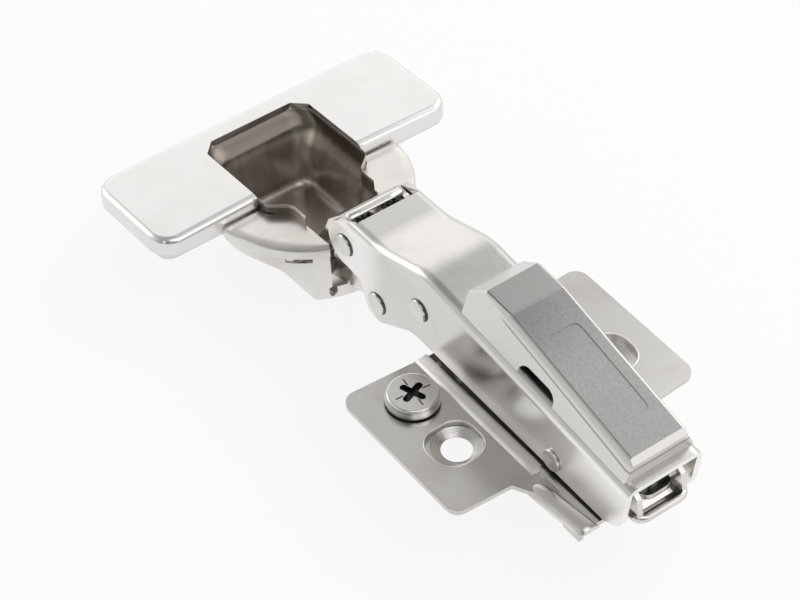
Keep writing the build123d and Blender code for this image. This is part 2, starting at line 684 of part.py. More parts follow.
# Release lever: ears on the pin, a tooth in the saddle's slot, and behind them a tongue, a tray
# with a window and a rolled thumb lip that closes the arm's open end
ear_round = lever_round - 0.2
lip_x, lip_z = LIP_AT
bar_half = LIP_HALF - LIP_RADIUS
tooth_top = SADDLE_TOP + 1.3
with BuildPart() as release_lever:
    with BuildSketch(side_plane(-LEVER_HALF)) as silhouette:
        with BuildLine():
            Polyline(
                (TOOTH_FRONT, TOOTH_LOW), (TOOTH_FRONT + 1.3, TOOTH_LOW),
                (TOOTH_FRONT + 1.6, SADDLE_TOP + 0.2), (LEVER_WEB - 0.2, SADDLE_TOP + 0.2),
                on_circle(LEVER_PIVOT, ear_round, -110), (lip_x - 3.6, lip_z),
                (lip_x, lip_z), (lip_x - 0.9, lip_z + 4.2),
                on_circle(LEVER_PIVOT, ear_round, 60), on_circle(LEVER_PIVOT, ear_round, 150),
                (LEVER_WEB, tooth_top), (TOOTH_FRONT, tooth_top - 0.3), close=True)
        make_face()
        with Locations(LEVER_PIVOT):
            Circle(ear_round)
    extrude(amount=-2 * LEVER_HALF)
    with BuildSketch(side_plane(-LEVER_HALF + LEVER_SHEET)):
        with BuildLine():
            Polyline((LEVER_WEB, 30), (LEVER_WEB, 0), (2 * lip_x, 0), (2 * lip_x, 30), close=True)
        make_face()
    extrude(amount=-2 * (LEVER_HALF - LEVER_SHEET), mode=Mode.SUBTRACT)
    with BuildSketch(Plane.XY.offset(SADDLE_TOP + 0.1)):
        for side in (-1, 1):
            with Locations((TOOTH_FRONT + 0.8, side * (TOOTH_HALF + 5))):
                Rectangle(5, 10)
    extrude(amount=-4, mode=Mode.SUBTRACT)
    with BuildSketch(side_plane(-TONGUE_HALF)):
        with BuildLine():
            Polyline(
                (LEVER_WEB - 0.3, tooth_top), (LEVER_WEB - 0.3, tooth_top - 1.1),
                (LEVER_WEB + 1.0, TONGUE_LOW), (lip_x - 1.1, TONGUE_LOW),
                (lip_x - 1.1, TONGUE_LOW + LEVER_SHEET), (LEVER_WEB + 1.6, TONGUE_LOW + LEVER_SHEET),
                (LEVER_WEB + 0.5, tooth_top), close=True)
        make_face()
    extrude(amount=-2 * TONGUE_HALF)
    tongue_end = release_lever.edges().filter_by(Axis.Z).group_by(Axis.X)[-1].filter_by(
        lambda edge: abs(abs(edge.center().Y) - TONGUE_HALF) < 0.01)
    fillet(tongue_end, TONGUE_ROUND)
    with BuildSketch(Plane.XY.offset(lip_z - LEVER_SHEET / 2)):
        with Locations((lip_x - 1.9, 0)):
            Rectangle(3.8, 2 * bar_half)
        with Locations((lip_x - 2.2, 0)):
            Rectangle(1.9, 2 * TONGUE_HALF, mode=Mode.SUBTRACT)
    extrude(amount=LEVER_SHEET)
    with BuildLine():
        lip = FilletPolyline(
            (lip_x - 2.5, -bar_half, lip_z), (lip_x, -bar_half, lip_z),
            (lip_x, bar_half, lip_z), (lip_x - 2.5, bar_half, lip_z), radius=2 * LIP_RADIUS)
    with BuildSketch(Plane(origin=lip @ 0, z_dir=lip % 0)):
        Circle(LIP_RADIUS)
    sweep()
    with BuildSketch(side_plane(-LEVER_HALF)):
        with Locations(LEVER_PIVOT):
            Circle(LEVER_PIN / 2 + RUNNING_FIT)
    extrude(amount=-2 * LEVER_HALF, mode=Mode.SUBTRACT)
release_lever.part.label = "release_lever"
export_step(release_lever.part, "parts/release_lever.step")


def coil(name, centre, wire, radius, turns, start):
    """Torsion spring in two coils that begin at start on each side of the middle plane."""
    pitch = wire * 1.08
    with BuildPart() as spring:
        for side in (-1, 1):
            origin = Vector(centre[0], side * start, centre[1])
            with BuildLine(mode=Mode.PRIVATE):
                path = Helix(pitch, pitch * turns, radius, center=origin, direction=(0, side, 0))
            with BuildSketch(Plane(origin=path @ 0, z_dir=path % 0)):
                Circle(wire / 2)
            sweep(path=path, is_frenet=True)
    spring.part.label = name
    export_step(spring.part, f"parts/{name}.step")
    return spring.part


closing_spring = coil(
    "closing_spring", A1, SPRING_WIRE, SPRING_RADIUS, SPRING_TURNS, SPRING_SIDE)
lever_spring = coil(
    "lever_spring", LEVER_PIVOT, LEVER_WIRE, LEVER_PIN / 2 + 0.1 + LEVER_WIRE / 2, 2, LEVER_WIRE)

# Outer link: folded channel from the front pin of the arm to the upper leg of the cup's staple
outer_back = [
    on_circle(A1, OUTER_EYE, 105),
    (-45.6, 12.8),
    (-48.8, 9.5),
    (-50.4, 5.5),
    (-52.6, 2.2),
    on_circle(P1, CUP_EYE, 160),
]
with BuildPart() as outer_link:
    with BuildSketch(side_plane(-OUTER_HALF)) as cheek:
        with BuildLine():
            Polyline(
                *outer_back, P1, on_circle(P1, CUP_EYE, -40), (-47.0, 3.4),
                on_circle(A1, OUTER_EYE, -75), A1, close=True)
        make_face()
        with Locations(A1):
            Circle(OUTER_EYE)
        with Locations(P1):
            Circle(CUP_EYE)
    extrude(amount=-2 * OUTER_HALF)
    outer_inner = inset(list(reversed(outer_back)), LINK_SHEET)
    with BuildSketch(side_plane(-OUTER_HALF + LINK_SHEET)):
        with BuildLine():
            Polyline(
                (-60, -9), (-60, OUTER_WEB_LOW), (outer_inner[2][0], OUTER_WEB_LOW),
                *outer_inner[2:5], (outer_inner[4][0] + 1.4, 30),
                (-30, 30), (-30, -9), close=True)
        make_face()
    extrude(amount=-2 * (OUTER_HALF - LINK_SHEET), mode=Mode.SUBTRACT)
    with BuildSketch(side_plane(-OUTER_HALF)):
        with Locations(A1):
            Circle(PIN / 2 + RUNNING_FIT)
        with Locations(P1):
            Circle(CUP_PIN / 2 + RUNNING_FIT)
    extrude(amount=-2 * OUTER_HALF, mode=Mode.SUBTRACT)
outer_link.part.label = "outer_link"
export_step(outer_link.part, "parts/outer_link.step")

# Inner link: folded channel from the lower pin of the arm to the lower leg of the staple.
# Its nose eye is a slot, the one pivot of the linkage that is left open, and its heel
# stands up behind the front pin and pushes the damper's rod.
link_angle = degrees(atan2(P2[1] - A2[1], P2[0] - A2[0]))
with BuildPart() as inner_link:
    with BuildSketch(side_plane(-INNER_HALF)):
        with Locations(A2):
            Circle(INNER_EYE)
        with Locations(on_circle(P2, NOSE_REACH, link_angle)):
            Circle(INNER_NOSE)
        make_hull()
    extrude(amount=-2 * INNER_HALF)
    with BuildSketch(side_plane(-INNER_HALF + LINK_SHEET)):
        with BuildLine():
            Polyline(
                (A2[0] - 2.6, 30), (A2[0] - 2.6, A2[1] + INNER_EYE - LINK_SHEET - 0.9),
                (P2[0] + 5.2, P2[1] + INNER_NOSE - LINK_SHEET + 1.7), (P2[0] + 5.2, 30),
                (P2[0] - 9, 30), (P2[0] - 9, -20), (A2[0] + 9, -20), (A2[0] + 9, 30), close=True)
        make_face()
    extrude(amount=-2 * (INNER_HALF - LINK_SHEET), mode=Mode.SUBTRACT)
    with BuildSketch(side_plane(-HEEL_HALF)):
        with BuildLine():
            Polyline(
                (HEEL_X - LINK_SHEET, A2[1] + INNER_EYE - 1.6), (HEEL_X - LINK_SHEET, HEEL_TOP),
                (HEEL_X, HEEL_TOP), (HEEL_X, A2[1] + INNER_EYE - 1.6), close=True)
        make_face()
    extrude(amount=-2 * HEEL_HALF)
    with BuildSketch(side_plane(-INNER_HALF)):
        with BuildLine():
            Polyline(
                (HEEL_X - LINK_SHEET, A2[1] + 1), (HEEL_X - LINK_SHEET, A2[1] + INNER_EYE + 1.0),
                (HEEL_X + 0.4, A2[1] + INNER_EYE + 1.0), (HEEL_X + 1.6, A2[1] + 2.2), close=True)
        make_face()
    extrude(amount=-2 * INNER_HALF)
    with BuildSketch(side_plane(-INNER_HALF + LINK_SHEET)):
        with Locations(A2):
            Circle(PIN / 2 + 0.6)
    extrude(amount=-2 * (INNER_HALF - LINK_SHEET), mode=Mode.SUBTRACT)
    with BuildSketch(side_plane(-INNER_HALF)):
        with Locations(A2):
            Circle(PIN / 2 + RUNNING_FIT)
        with Locations(on_circle(P2, (SLOT_OUT - SLOT_IN) / 2, link_angle)):
            SlotOverall(CUP_PIN + SLOT_IN + SLOT_OUT, CUP_PIN + 2 * SLOT_SIDE, rotation=link_angle)
    extrude(amount=-2 * INNER_HALF, mode=Mode.SUBTRACT)
inner_link.part.label = "inner_link"
export_step(inner_link.part, "parts/inner_link.step")

# Damper: housing pinned in the arm and a rod that the inner link's heel pushes in
with BuildPart() as damper_body:
    with BuildSketch(side_plane(-DAMPER_HALF)) as housing:
        with BuildLine():
            Polyline(
                (DAMPER_FRONT, ROD_Z - 1.7), (DAMPER_FRONT, ROD_Z + 1.8), (CREST_X - 3.5, 15.6),
                (DAMPER_REAR, 15.8), (DAMPER_REAR, SADDLE_TOP + 0.8), (DAMPER_REAR - 2, 8.4),
                (A3[0] - 3.5, 8.4), close=True)
        make_face()
        fillet(housing.vertices(), 0.7)
    extrude(amount=-2 * DAMPER_HALF)
    fillet(damper_body.edges().group_by(Axis.Y)[0] + damper_body.edges().group_by(Axis.Y)[-1], 0.5)
    with BuildSketch(Plane.YZ.offset(DAMPER_FRONT)):
        with Locations((0, ROD_Z)):
            Circle(ROD / 2 + 2 * RUNNING_FIT)
    extrude(amount=ROD_INSIDE + ROD_TRAVEL + 0.4, mode=Mode.SUBTRACT)
    with BuildSketch(side_plane(-DAMPER_HALF)):
        with Locations(A3):
            Circle(PIN / 2)
    extrude(amount=-2 * DAMPER_HALF, mode=Mode.SUBTRACT)
damper_body.part.label = "damper_body"
export_step(damper_body.part, "parts/damper_body.step")

with BuildPart() as damper_rod:
    with BuildSketch(Plane.XZ):
        with BuildLine():
            tip = HEEL_X + REST_GAP
            Line((tip, ROD_Z), (DAMPER_FRONT + ROD_INSIDE, ROD_Z))
            Line((DAMPER_FRONT + ROD_INSIDE, ROD_Z), (DAMPER_FRONT + ROD_INSIDE, ROD_Z + ROD / 2))
            Line((DAMPER_FRONT + ROD_INSIDE, ROD_Z + ROD / 2), (tip + ROD / 2, ROD_Z + ROD / 2))
            RadiusArc((tip + ROD / 2, ROD_Z + ROD / 2), (tip, ROD_Z), -ROD / 2)
        make_face()
    revolve(axis=Axis((0, 0, ROD_Z), (1, 0, 0)))
damper_rod.part.label = "damper_rod"
export_step(damper_rod.part, "parts/damper_rod.step")

# Space inside the cup's box: round corners, a fillet all round its floor and the links' throat
with BuildPart() as pocket:
    with BuildSketch(cup_level(BOX_FLOOR)) as floor:
        with Locations(((THROAT_U - POCKET_BACK) / 2, 0)):
            Rectangle(THROAT_U + POCKET_BACK, 2 * POCKET_HALF)
        fillet(floor.vertices().group_by(Axis(origin=(0, 0, 0), direction=cup_plane.x_dir))[0],
               POCKET_CORNER)
        with Locations((THROAT_U / 2, 0)):
            Rectangle(2 * (BOX_RADIUS - BOSS_WALL - CUP_CENTRE) - THROAT_U, 2 * THROAT_HALF)
    extrude(amount=RIM_TOP - BOX_FLOOR + PAST)
    floor_face = pocket.faces().sort_by(Axis(origin=(0, 0, 0), direction=cup_plane.z_dir))[0]
    fillet(floor_face.edges(), POCKET_FILLET)

# Cup: stepped die casting, a round boss for the door's bore and a deep box for the links
with BuildPart() as cup:
    with BuildSketch(cup_level(RIM_LOW)):
        with Locations((-CUP_WING_MIDDLE, 0)):
            RectangleRounded(CUP_WING_DEEP, 2 * CUP_WING_HALF, 2.4)
        with Locations((-CUP_CENTRE, 0)):
            Circle(RIM_RADIUS)
    extrude(amount=RIM_TOP - RIM_LOW)
    # round boss with a crescent hollow on each side of the box, open below
    with BuildSketch(cup_level(BORE_LOW)) as boss:
        with Locations((-CUP_CENTRE, 0)):
            Circle(BORE_RADIUS)
            with BuildSketch(cup_level(BORE_LOW), mode=Mode.SUBTRACT):
                with Locations((-CUP_CENTRE, 0)):
                    Circle(BORE_RADIUS - BOSS_WALL)
                    Rectangle(4 * BORE_RADIUS, 2 * (MOUTH_HALF + BOSS_WALL), mode=Mode.SUBTRACT)
    extrude(amount=RIM_LOW - BORE_LOW)
    # recess for the staple's bridge
    with BuildSketch(cup_level(BORE_LOW - PAST)):
        with Locations((-(C1[0] + C2[0]) / 2, -BOX_HALF - BORE_RADIUS / 2)):
            Rectangle(abs(C1[0] - C2[0]) + 2 * STAPLE_ROOM, BORE_RADIUS)
    extrude(amount=STAPLE_TOP - BORE_LOW + PAST, mode=Mode.SUBTRACT)
    # deep box, drawn up into the boss
    with BuildSketch(cup_level(BOX_LOW)):
        with Locations((-CUP_CENTRE, 0)):
            Circle(BOX_RADIUS)
            Rectangle(4 * BOX_RADIUS, 2 * BOX_HALF, mode=Mode.INTERSECT)
    extrude(amount=RIM_LOW - BOX_LOW)
    downward = cup.faces().filter_by(lambda face: face.normal_at().dot(cup_plane.z_dir) < -0.99)
    lowest = downward.sort_by(Axis(origin=(0, 0, 0), direction=cup_plane.z_dir))[0]
    fillet(lowest.edges(), BOX_EDGE)
    # pocket and throat, then a mouth that tapers down to the pocket's width
    add(pocket.part, mode=Mode.SUBTRACT)
    mouth_levels = (
        (RIM_TOP + PAST, MOUTH_HALF, MOUTH_BACK, MOUTH_CORNER),
        (MOUTH_LOW, POCKET_HALF + 0.01, POCKET_BACK + 0.01, POCKET_CORNER))
    for level, half, back, corner in mouth_levels:
        with BuildSketch(cup_level(level)) as mouth:
            with Locations(((THROAT_U - back) / 2, 0)):
                Rectangle(THROAT_U + back, 2 * half)
            ends = mouth.vertices().group_by(Axis(origin=(0, 0, 0), direction=cup_plane.x_dir))
            chamfer(ends[-1], half - THROAT_HALF)
            fillet(ends[0], corner)
    loft(ruled=True, mode=Mode.SUBTRACT)
    # way out for the links over the low front wall
    with BuildSketch(cup_level(SILL)):
        with Locations((THROAT_U + RIM_RADIUS / 2, 0)):
            Rectangle(RIM_RADIUS, 2 * THROAT_HALF)
    extrude(amount=RIM_TOP - SILL + PAST, mode=Mode.SUBTRACT)
    with BuildSketch(side_plane(-BOX_HALF - PAST)):
        with Locations(P1, P2):
            Circle(CUP_PIN / 2)
    extrude(amount=-2 * (BOX_HALF + PAST), mode=Mode.SUBTRACT)
    with BuildSketch(cup_level(RIM_TOP + PAST)):
        with Locations(*[(-CUP_SCREW_U, side * CUP_SCREW_PITCH / 2) for side in (-1, 1)]):
            Circle(CUP_SCREW_HOLE / 2)
    extrude(amount=RIM_LOW - RIM_TOP - 2 * PAST, mode=Mode.SUBTRACT)
cup.part.label = "cup"
export_step(cup.part, "parts/cup.step")

# Staple: bent wire, its long leg is the pivot of the inner link across the cup and its
# short leg the pivot of the outer link on one side; a stud is that pivot on the other side
stud_end = OUTER_HALF - LINK_SHEET
with BuildPart() as cup_staple:
    bridge = -BOX_HALF - CUP_PIN / 2 - RUNNING_FIT
    with BuildLine():
        wire = FilletPolyline(
            (P1[0], -stud_end, P1[1]), (P1[0], bridge, P1[1]), (P2[0], bridge, P2[1]),
            (P2[0], BOX_HALF, P2[1]), radius=CUP_PIN / 2 + 0.15)
    with BuildSketch(Plane(origin=wire @ 0, z_dir=wire % 0)):
        Circle(CUP_PIN / 2)
    sweep()
cup_staple.part.label = "cup_staple"
export_step(cup_staple.part, "parts/cup_staple.step")

with BuildPart() as cup_stud:
    with BuildSketch(side_plane(stud_end)):
        with Locations(P1):
            Circle(CUP_PIN / 2)
    extrude(amount=stud_end - BOX_HALF)
cup_stud.part.label = "cup_stud"
export_step(cup_stud.part, "parts/cup_stud.step")

# Cup cover: thin cap over the cup's wings with a window that the arm folds into
with BuildPart() as cup_cover:
    with BuildSketch(cup_level(RIM_TOP)):
        with Locations((-SHELL_DEEP / 2, 0)):
            RectangleRounded(SHELL_DEEP, SHELL_LONG, SHELL_CORNER)
        with BuildLine():
            Polyline((1, -SHELL_LONG / 2), (0, -SHELL_LONG / 2), (-SHELL_TAPER, -MOUTH_HALF),
                     (-SHELL_TAPER, MOUTH_HALF), (0, SHELL_LONG / 2), (1, SHELL_LONG / 2), close=True)
        make_face(mode=Mode.SUBTRACT)
    extrude(amount=-RIM_TOP)
    upward = cup_cover.faces().sort_by(Axis(origin=(0, 0, 0), direction=cup_plane.z_dir))[-1]
    fillet(upward.edges(), SHELL_ROUND)
    with BuildSketch(cup_level(RIM_TOP)):
        with Locations((-SHELL_DEEP / 2 - SHELL_TAPER / 2, 0)):
            RectangleRounded(
                SHELL_DEEP - SHELL_TAPER - 2 * SHELL_WALL, SHELL_LONG - 2 * SHELL_WALL,
                SHELL_CORNER - SHELL_WALL)
    extrude(amount=-RIM_TOP - SHELL_WALL, mode=Mode.SUBTRACT)
    with BuildSketch(cup_level(RIM_TOP)):
        for side in (-1, 1):
            for across in (MOUTH_HALF + 4, CUP_WING_HALF - RIB_INSET):
                with Locations((-SHELL_DEEP / 2, side * across)):
                    Rectangle(SHELL_DEEP - 4 * SHELL_WALL, SHELL_WALL)
    extrude(amount=-RIM_TOP - SHELL_WALL / 2)
    for grow, mode in ((SHELL_WALL, Mode.ADD), (0, Mode.SUBTRACT)):
        with BuildSketch(cup_level(RIM_TOP + (REST_GAP if grow else -1))) as opening:
            with Locations((-(SHELL_WINDOW + grow) / 2 - (SHELL_TAPER if grow else -1), 0)):
                Rectangle(SHELL_WINDOW + grow + (0 if grow else 2), 2 * (MOUTH_HALF + grow))
            far = opening.vertices().group_by(Axis(origin=(0, 0, 0), direction=cup_plane.x_dir))[0]
            chamfer(far, SHELL_CHAMFER)
        extrude(amount=-RIM_TOP - (REST_GAP + SHELL_WALL / 2 if grow else -4), mode=mode)
cup_cover.part.label = "cup_cover"
export_step(cup_cover.part, "parts/cup_cover.step")
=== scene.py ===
"""Looks of a concealed cup hinge: nickel finishes, formed parts, floor, lamps and camera."""

import math
from contextlib import contextmanager

import bmesh
import bpy
from mathutils import Matrix, Vector


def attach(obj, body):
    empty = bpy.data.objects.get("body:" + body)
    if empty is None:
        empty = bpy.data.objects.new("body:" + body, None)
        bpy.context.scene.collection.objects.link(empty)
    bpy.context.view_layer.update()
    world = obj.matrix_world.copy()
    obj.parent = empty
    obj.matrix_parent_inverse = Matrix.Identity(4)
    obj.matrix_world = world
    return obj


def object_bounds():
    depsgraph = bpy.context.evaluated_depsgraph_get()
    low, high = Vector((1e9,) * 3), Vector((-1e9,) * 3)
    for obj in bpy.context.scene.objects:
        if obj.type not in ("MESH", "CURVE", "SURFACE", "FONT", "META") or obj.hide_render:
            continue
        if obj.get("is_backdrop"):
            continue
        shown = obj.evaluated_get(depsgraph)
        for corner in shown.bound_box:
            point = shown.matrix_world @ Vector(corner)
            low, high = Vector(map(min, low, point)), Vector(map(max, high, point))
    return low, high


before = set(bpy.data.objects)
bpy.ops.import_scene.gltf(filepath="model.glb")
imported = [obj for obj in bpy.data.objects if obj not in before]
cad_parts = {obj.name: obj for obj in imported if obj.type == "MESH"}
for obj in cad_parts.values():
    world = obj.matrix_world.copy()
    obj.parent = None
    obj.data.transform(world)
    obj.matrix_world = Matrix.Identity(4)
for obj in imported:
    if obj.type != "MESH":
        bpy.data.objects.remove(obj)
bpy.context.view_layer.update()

bl_info = {
    "name": "Concealed hinge looks",
    "version": (1, 0, 0),
    "blender": (4, 5, 0),
    "location": "View3D > Sidebar > Hinge",
    "description": "Finishes, fittings and stage for a concealed cup hinge",
    "category": "Object",
}

MM = 0.001

# Places and widths on the solids in millimetres, and the cup's tilt.
CUP_TILT = math.radians(5.27)
CUP_AT = (-62.92, 6.42)
RIM_CENTRE = 1.0
THROAT = 7.52
MOUTH = 11.18
CAM_AT = (-11.7, -16.2)
PINS_AT = ((-42.2, 9.3), (-32.8, 2.6), (-21.1, 10.6))
PLATE_TOP = 1.90
EDGE_ROUND = 0.12

WHITE = (1.0, 1.0, 1.0, 1.0)


# Node trees

class Socket:
    """An output socket of a tree; arithmetic on it adds Math nodes."""

    def __init__(self, builder, socket):
        self.builder = builder
        self.socket = socket

    def __add__(self, other):
        return self.builder.math("ADD", self, other)

    __radd__ = __add__

    def __mul__(self, other):
        return self.builder.math("MULTIPLY", self, other)

    def __sub__(self, other):
        return self.builder.math("SUBTRACT", self, other)

    def __rsub__(self, other):
        return self.builder.math("SUBTRACT", other, self)

    def __truediv__(self, other):
        return self.builder.math("DIVIDE", self, other)

    def __rtruediv__(self, other):
        return self.builder.math("DIVIDE", other, self)

    def abs(self):
        """The value without its sign."""
        return self.builder.math("ABSOLUTE", self)

    def clamp(self):
        """The value kept between 0 and 1."""
        return self.builder.math("ADD", self, 0.0, clamp=True)

    def ramp(self, low, high):
        """0 below low, 1 above high and a smooth rise between."""
        return self.builder.value(
            "ShaderNodeMapRange", {"interpolation_type": "SMOOTHSTEP"},
            {"Value": self, "From Min": low, "From Max": high})


class Builder:
    """A node tree, built by code."""

    def __init__(self, tree):
        self.tree = tree

    def node(self, kind, settings=None, inputs=None):
        """Adds a node: settings are its properties, inputs its sockets by name or number."""
        made = self.tree.nodes.new(kind)
        for key, value in (settings or {}).items():
            setattr(made, key, value)
        for key, value in (inputs or {}).items():
            if isinstance(value, Socket):
                self.tree.links.new(value.socket, made.inputs[key])
            else:
                made.inputs[key].default_value = value
        return made

    def value(self, kind, settings=None, inputs=None, output=0):
        """Adds a node and gives one of its outputs."""
        return Socket(self, self.node(kind, settings, inputs).outputs[output])

    def math(self, operation, first, second=0.0, clamp=False):
        """A Math node's value."""
        return self.value(
            "ShaderNodeMath", {"operation": operation, "use_clamp": clamp}, {0: first, 1: second})


class Shader(Builder):
    """The node tree of a new material or of a given world."""

    def __init__(self, name, world=None):
        self.owner = world or bpy.data.materials.new(name)
        self.owner.use_nodes = True
        super().__init__(self.owner.node_tree)
        self.tree.nodes.clear()
        self.output = self.tree.nodes.new(
            "ShaderNodeOutputWorld" if world else "ShaderNodeOutputMaterial")

    def place(self):
        """Object coordinates in millimetres, as one vector."""
        coords = self.value("ShaderNodeTexCoord", output="Object")
        return self.value(
            "ShaderNodeVectorMath", {"operation": "SCALE"}, {0: coords, "Scale": 1 / MM})

    def axes(self, vector):
        """The three parts of a vector."""
        split = self.node("ShaderNodeSeparateXYZ", None, {0: vector})
        return [Socket(self, output) for output in split.outputs]

    def upward(self):
        """Upward part of the surface's direction."""
        return self.axes(self.value("ShaderNodeNewGeometry", output="Normal"))[2]

    def stretch(self, vector, scale):
        """A vector with each axis scaled."""
        return self.value(
            "ShaderNodeVectorMath", {"operation": "MULTIPLY"}, {0: vector, 1: scale})

    def toward(self, vector, direction):
        """How far a direction points along another, from -1 to 1."""
        return self.value(
            "ShaderNodeVectorMath", {"operation": "DOT_PRODUCT"}, {0: vector, 1: direction},
            "Value")

    def noise(self, vector, scale, detail=3.0, rough=0.55):
        """Noise with its scale in cycles per millimetre."""
        return self.value(
            "ShaderNodeTexNoise", None,
            {"Vector": vector, "Scale": scale, "Detail": detail, "Roughness": rough})

    def mix(self, factor, first, second):
        """Two colours mixed by a factor; each is a socket or three parts."""
        first, second = (
            colour if isinstance(colour, Socket) else (*colour, 1.0) for colour in (first, second))
        return self.value(
            "ShaderNodeMix", {"data_type": "RGBA"}, {"Factor": factor, 6: first, 7: second}, 2)

    def relief(self, height, strength, depth):
        """The surface's direction under a relief up to depth mm, with its edges rounded."""
        edges = self.value("ShaderNodeBevel", {"samples": 4}, {"Radius": EDGE_ROUND * MM})
        return self.value("ShaderNodeBump", None, {
            "Height": height, "Strength": strength, "Distance": depth * MM, "Normal": edges})

    def rays(self, *kinds):
        """1 for rays of the named kinds, 0 for others."""
        paths = self.node("ShaderNodeLightPath")
        share, *others = (Socket(self, paths.outputs[kind]) for kind in kinds)
        for other in others:
            share = share + other
        return share

    def blend(self, share, first, second):
        """Ends the tree in two shaders blended by a share."""
        return self.end(self.value("ShaderNodeMixShader", None, {0: share, 1: first, 2: second}))

    def finish(self, colour, roughness, relief, metallic=1.0):
        """Ends the tree in one surface shader."""
        return self.end(self.value("ShaderNodeBsdfPrincipled", None, {
            "Base Color": colour, "Roughness": roughness.clamp(), "Metallic": metallic,
            "Normal": relief}))

    def end(self, shader):
        """Links a shader to the output and gives the material or world."""
        self.tree.links.new(shader.socket, self.output.inputs[0])
        return self.owner


# Sizes and colours a user would change

class FinishSettings(bpy.types.PropertyGroup):
    """Colours and gloss of the metal finishes."""
    nickel: bpy.props.FloatVectorProperty(
        name="Nickel", description="Colour of the bright nickel", subtype="COLOR",
        default=(0.68, 0.665, 0.645), min=0.0, max=1.0)
    cap: bpy.props.FloatVectorProperty(
        name="Cup cover", description="Colour of the cup cover's plating", subtype="COLOR",
        default=(0.78, 0.775, 0.765), min=0.0, max=1.0)
    grain: bpy.props.FloatVectorProperty(
        name="Grained face", description="Colour of the arm cover's grained face", subtype="COLOR",
        default=(0.40, 0.393, 0.384), min=0.0, max=1.0)
    plastic: bpy.props.FloatVectorProperty(
        name="Damper", description="Colour of the damper's housing", subtype="COLOR",
        default=(0.10, 0.10, 0.105), min=0.0, max=1.0)
    gloss: bpy.props.FloatProperty(
        name="Roughness", description="Roughness of the bright nickel",
        default=0.24, min=0.0, max=1.0,
        subtype="FACTOR")


class FittingSettings(bpy.types.PropertyGroup):
    """Sizes of the small formed parts."""
    rim_radius: bpy.props.FloatProperty(
        name="Rim radius", description="Outer radius of the cup's rim",
        default=18.56 * MM, unit="LENGTH")
    skirt_radius: bpy.props.FloatProperty(
        name="Skirt radius", description="Radius of the skirt below the rim",
        default=17.6 * MM, unit="LENGTH")
    skirt_sheet: bpy.props.FloatProperty(
        name="Skirt sheet", description="Thickness of the skirt's sheet",
        default=0.5 * MM, unit="LENGTH")
    liner_sheet: bpy.props.FloatProperty(
        name="Liner sheet", description="Thickness of the pocket's drawn liner", default=0.08 * MM,
        unit="LENGTH")
    ticks: bpy.props.IntProperty(
        name="Ticks", description="Marks round the cam's cross recess", default=4, min=1)
    tick_length: bpy.props.FloatProperty(
        name="Tick length", description="Length of one mark", default=1.5 * MM, unit="LENGTH")
    rings: bpy.props.IntProperty(
        name="Dish rings", description="Turned rings round each screw hole", default=3, min=1)
    ring_pitch: bpy.props.FloatProperty(
        name="Ring pitch", description="Distance between two rings",
        default=0.45 * MM, unit="LENGTH")
    ledge_width: bpy.props.FloatProperty(
        name="Ledge width", description="Width of the plate's raised ledge",
        default=1.9 * MM, unit="LENGTH")
    tail_width: bpy.props.FloatProperty(
        name="Tail width", description="Width of the plate's rolled tail",
        default=4.0 * MM, unit="LENGTH")
    roll_half: bpy.props.FloatProperty(
        name="Roll half", description="Half length of the outer link's rolled edge",
        default=5.9 * MM,
        unit="LENGTH")
    head_radius: bpy.props.FloatProperty(
        name="Head radius", description="Radius of the pins' heads",
        default=2.1 * MM, unit="LENGTH")
    # Widest part of the painted shade crescent round each pin's head.
    crescent_width: bpy.props.FloatProperty(
        name="Groove", description="Widest part of the gap round a pin's head",
        default=0.60 * MM, unit="LENGTH")
    bead: bpy.props.FloatProperty(
        name="Bead", description="Radius of the rounded edge of the plate's windows",
        default=0.15 * MM,
        unit="LENGTH")


class StageSettings(bpy.types.PropertyGroup):
    """Camera, lamps and floor."""
    azimuth: bpy.props.FloatProperty(
        name="Azimuth", description="Camera's turn from the front", default=math.radians(52.80),
        subtype="ANGLE")
    elevation: bpy.props.FloatProperty(
        name="Elevation", description="Camera's height as an angle", default=math.radians(45.94),
        subtype="ANGLE")
    roll: bpy.props.FloatProperty(
        name="Roll", description="Camera's turn about its view", default=math.radians(0.15),
        subtype="ANGLE")
    distance: bpy.props.FloatProperty(
        name="Distance", description="Camera's distance along its view",
        default=0.4428, unit="LENGTH")
    across: bpy.props.FloatProperty(
        name="Across", description="Camera's shift to the right", default=-0.022157, unit="LENGTH")
    upward: bpy.props.FloatProperty(
        name="Upward", description="Camera's shift upwards", default=0.01769, unit="LENGTH")
    lens: bpy.props.FloatProperty(
        name="Lens", description="Focal length in millimetres for a 36 mm frame", default=119.25)
    lamp: bpy.props.FloatProperty(
        name="Lamp", description="Strength of the main lamp", default=1.0, min=0.0)


# Finishes

def scaled(colour, *factors):
    """A colour's three parts scaled by one factor, or by one each."""
    factors = factors if len(factors) == 3 else factors * 3
    return tuple(part * factor for part, factor in zip(colour, factors))


def nickel(name, colour, roughness, haze=0.08, grain=0.0, tint=(0.72, 0.70, 0.67)):
    """Plated metal: faint clouds, fine rubbing marks and a soft tooth from the sheet below."""
    shader = Shader(name)
    place = shader.place()
    cloud = shader.noise(place, 0.09, 3.0)
    tooth = shader.noise(place, 4.5, 2.0)
    rubs = shader.noise(shader.stretch(place, (0.35, 3.0, 2.0)), 2.2, 2.0)
    shade = (cloud.ramp(0.38, 0.75) * 0.5 + rubs.ramp(0.55, 0.8) * 0.08).clamp()
    base = shader.mix(shade, colour, scaled(colour, *tint))
    rough = roughness + (cloud - 0.5) * haze + (tooth - 0.5) * haze * 0.8
    return shader.finish(base, rough, shader.relief(tooth, 0.05 + grain, 0.03))


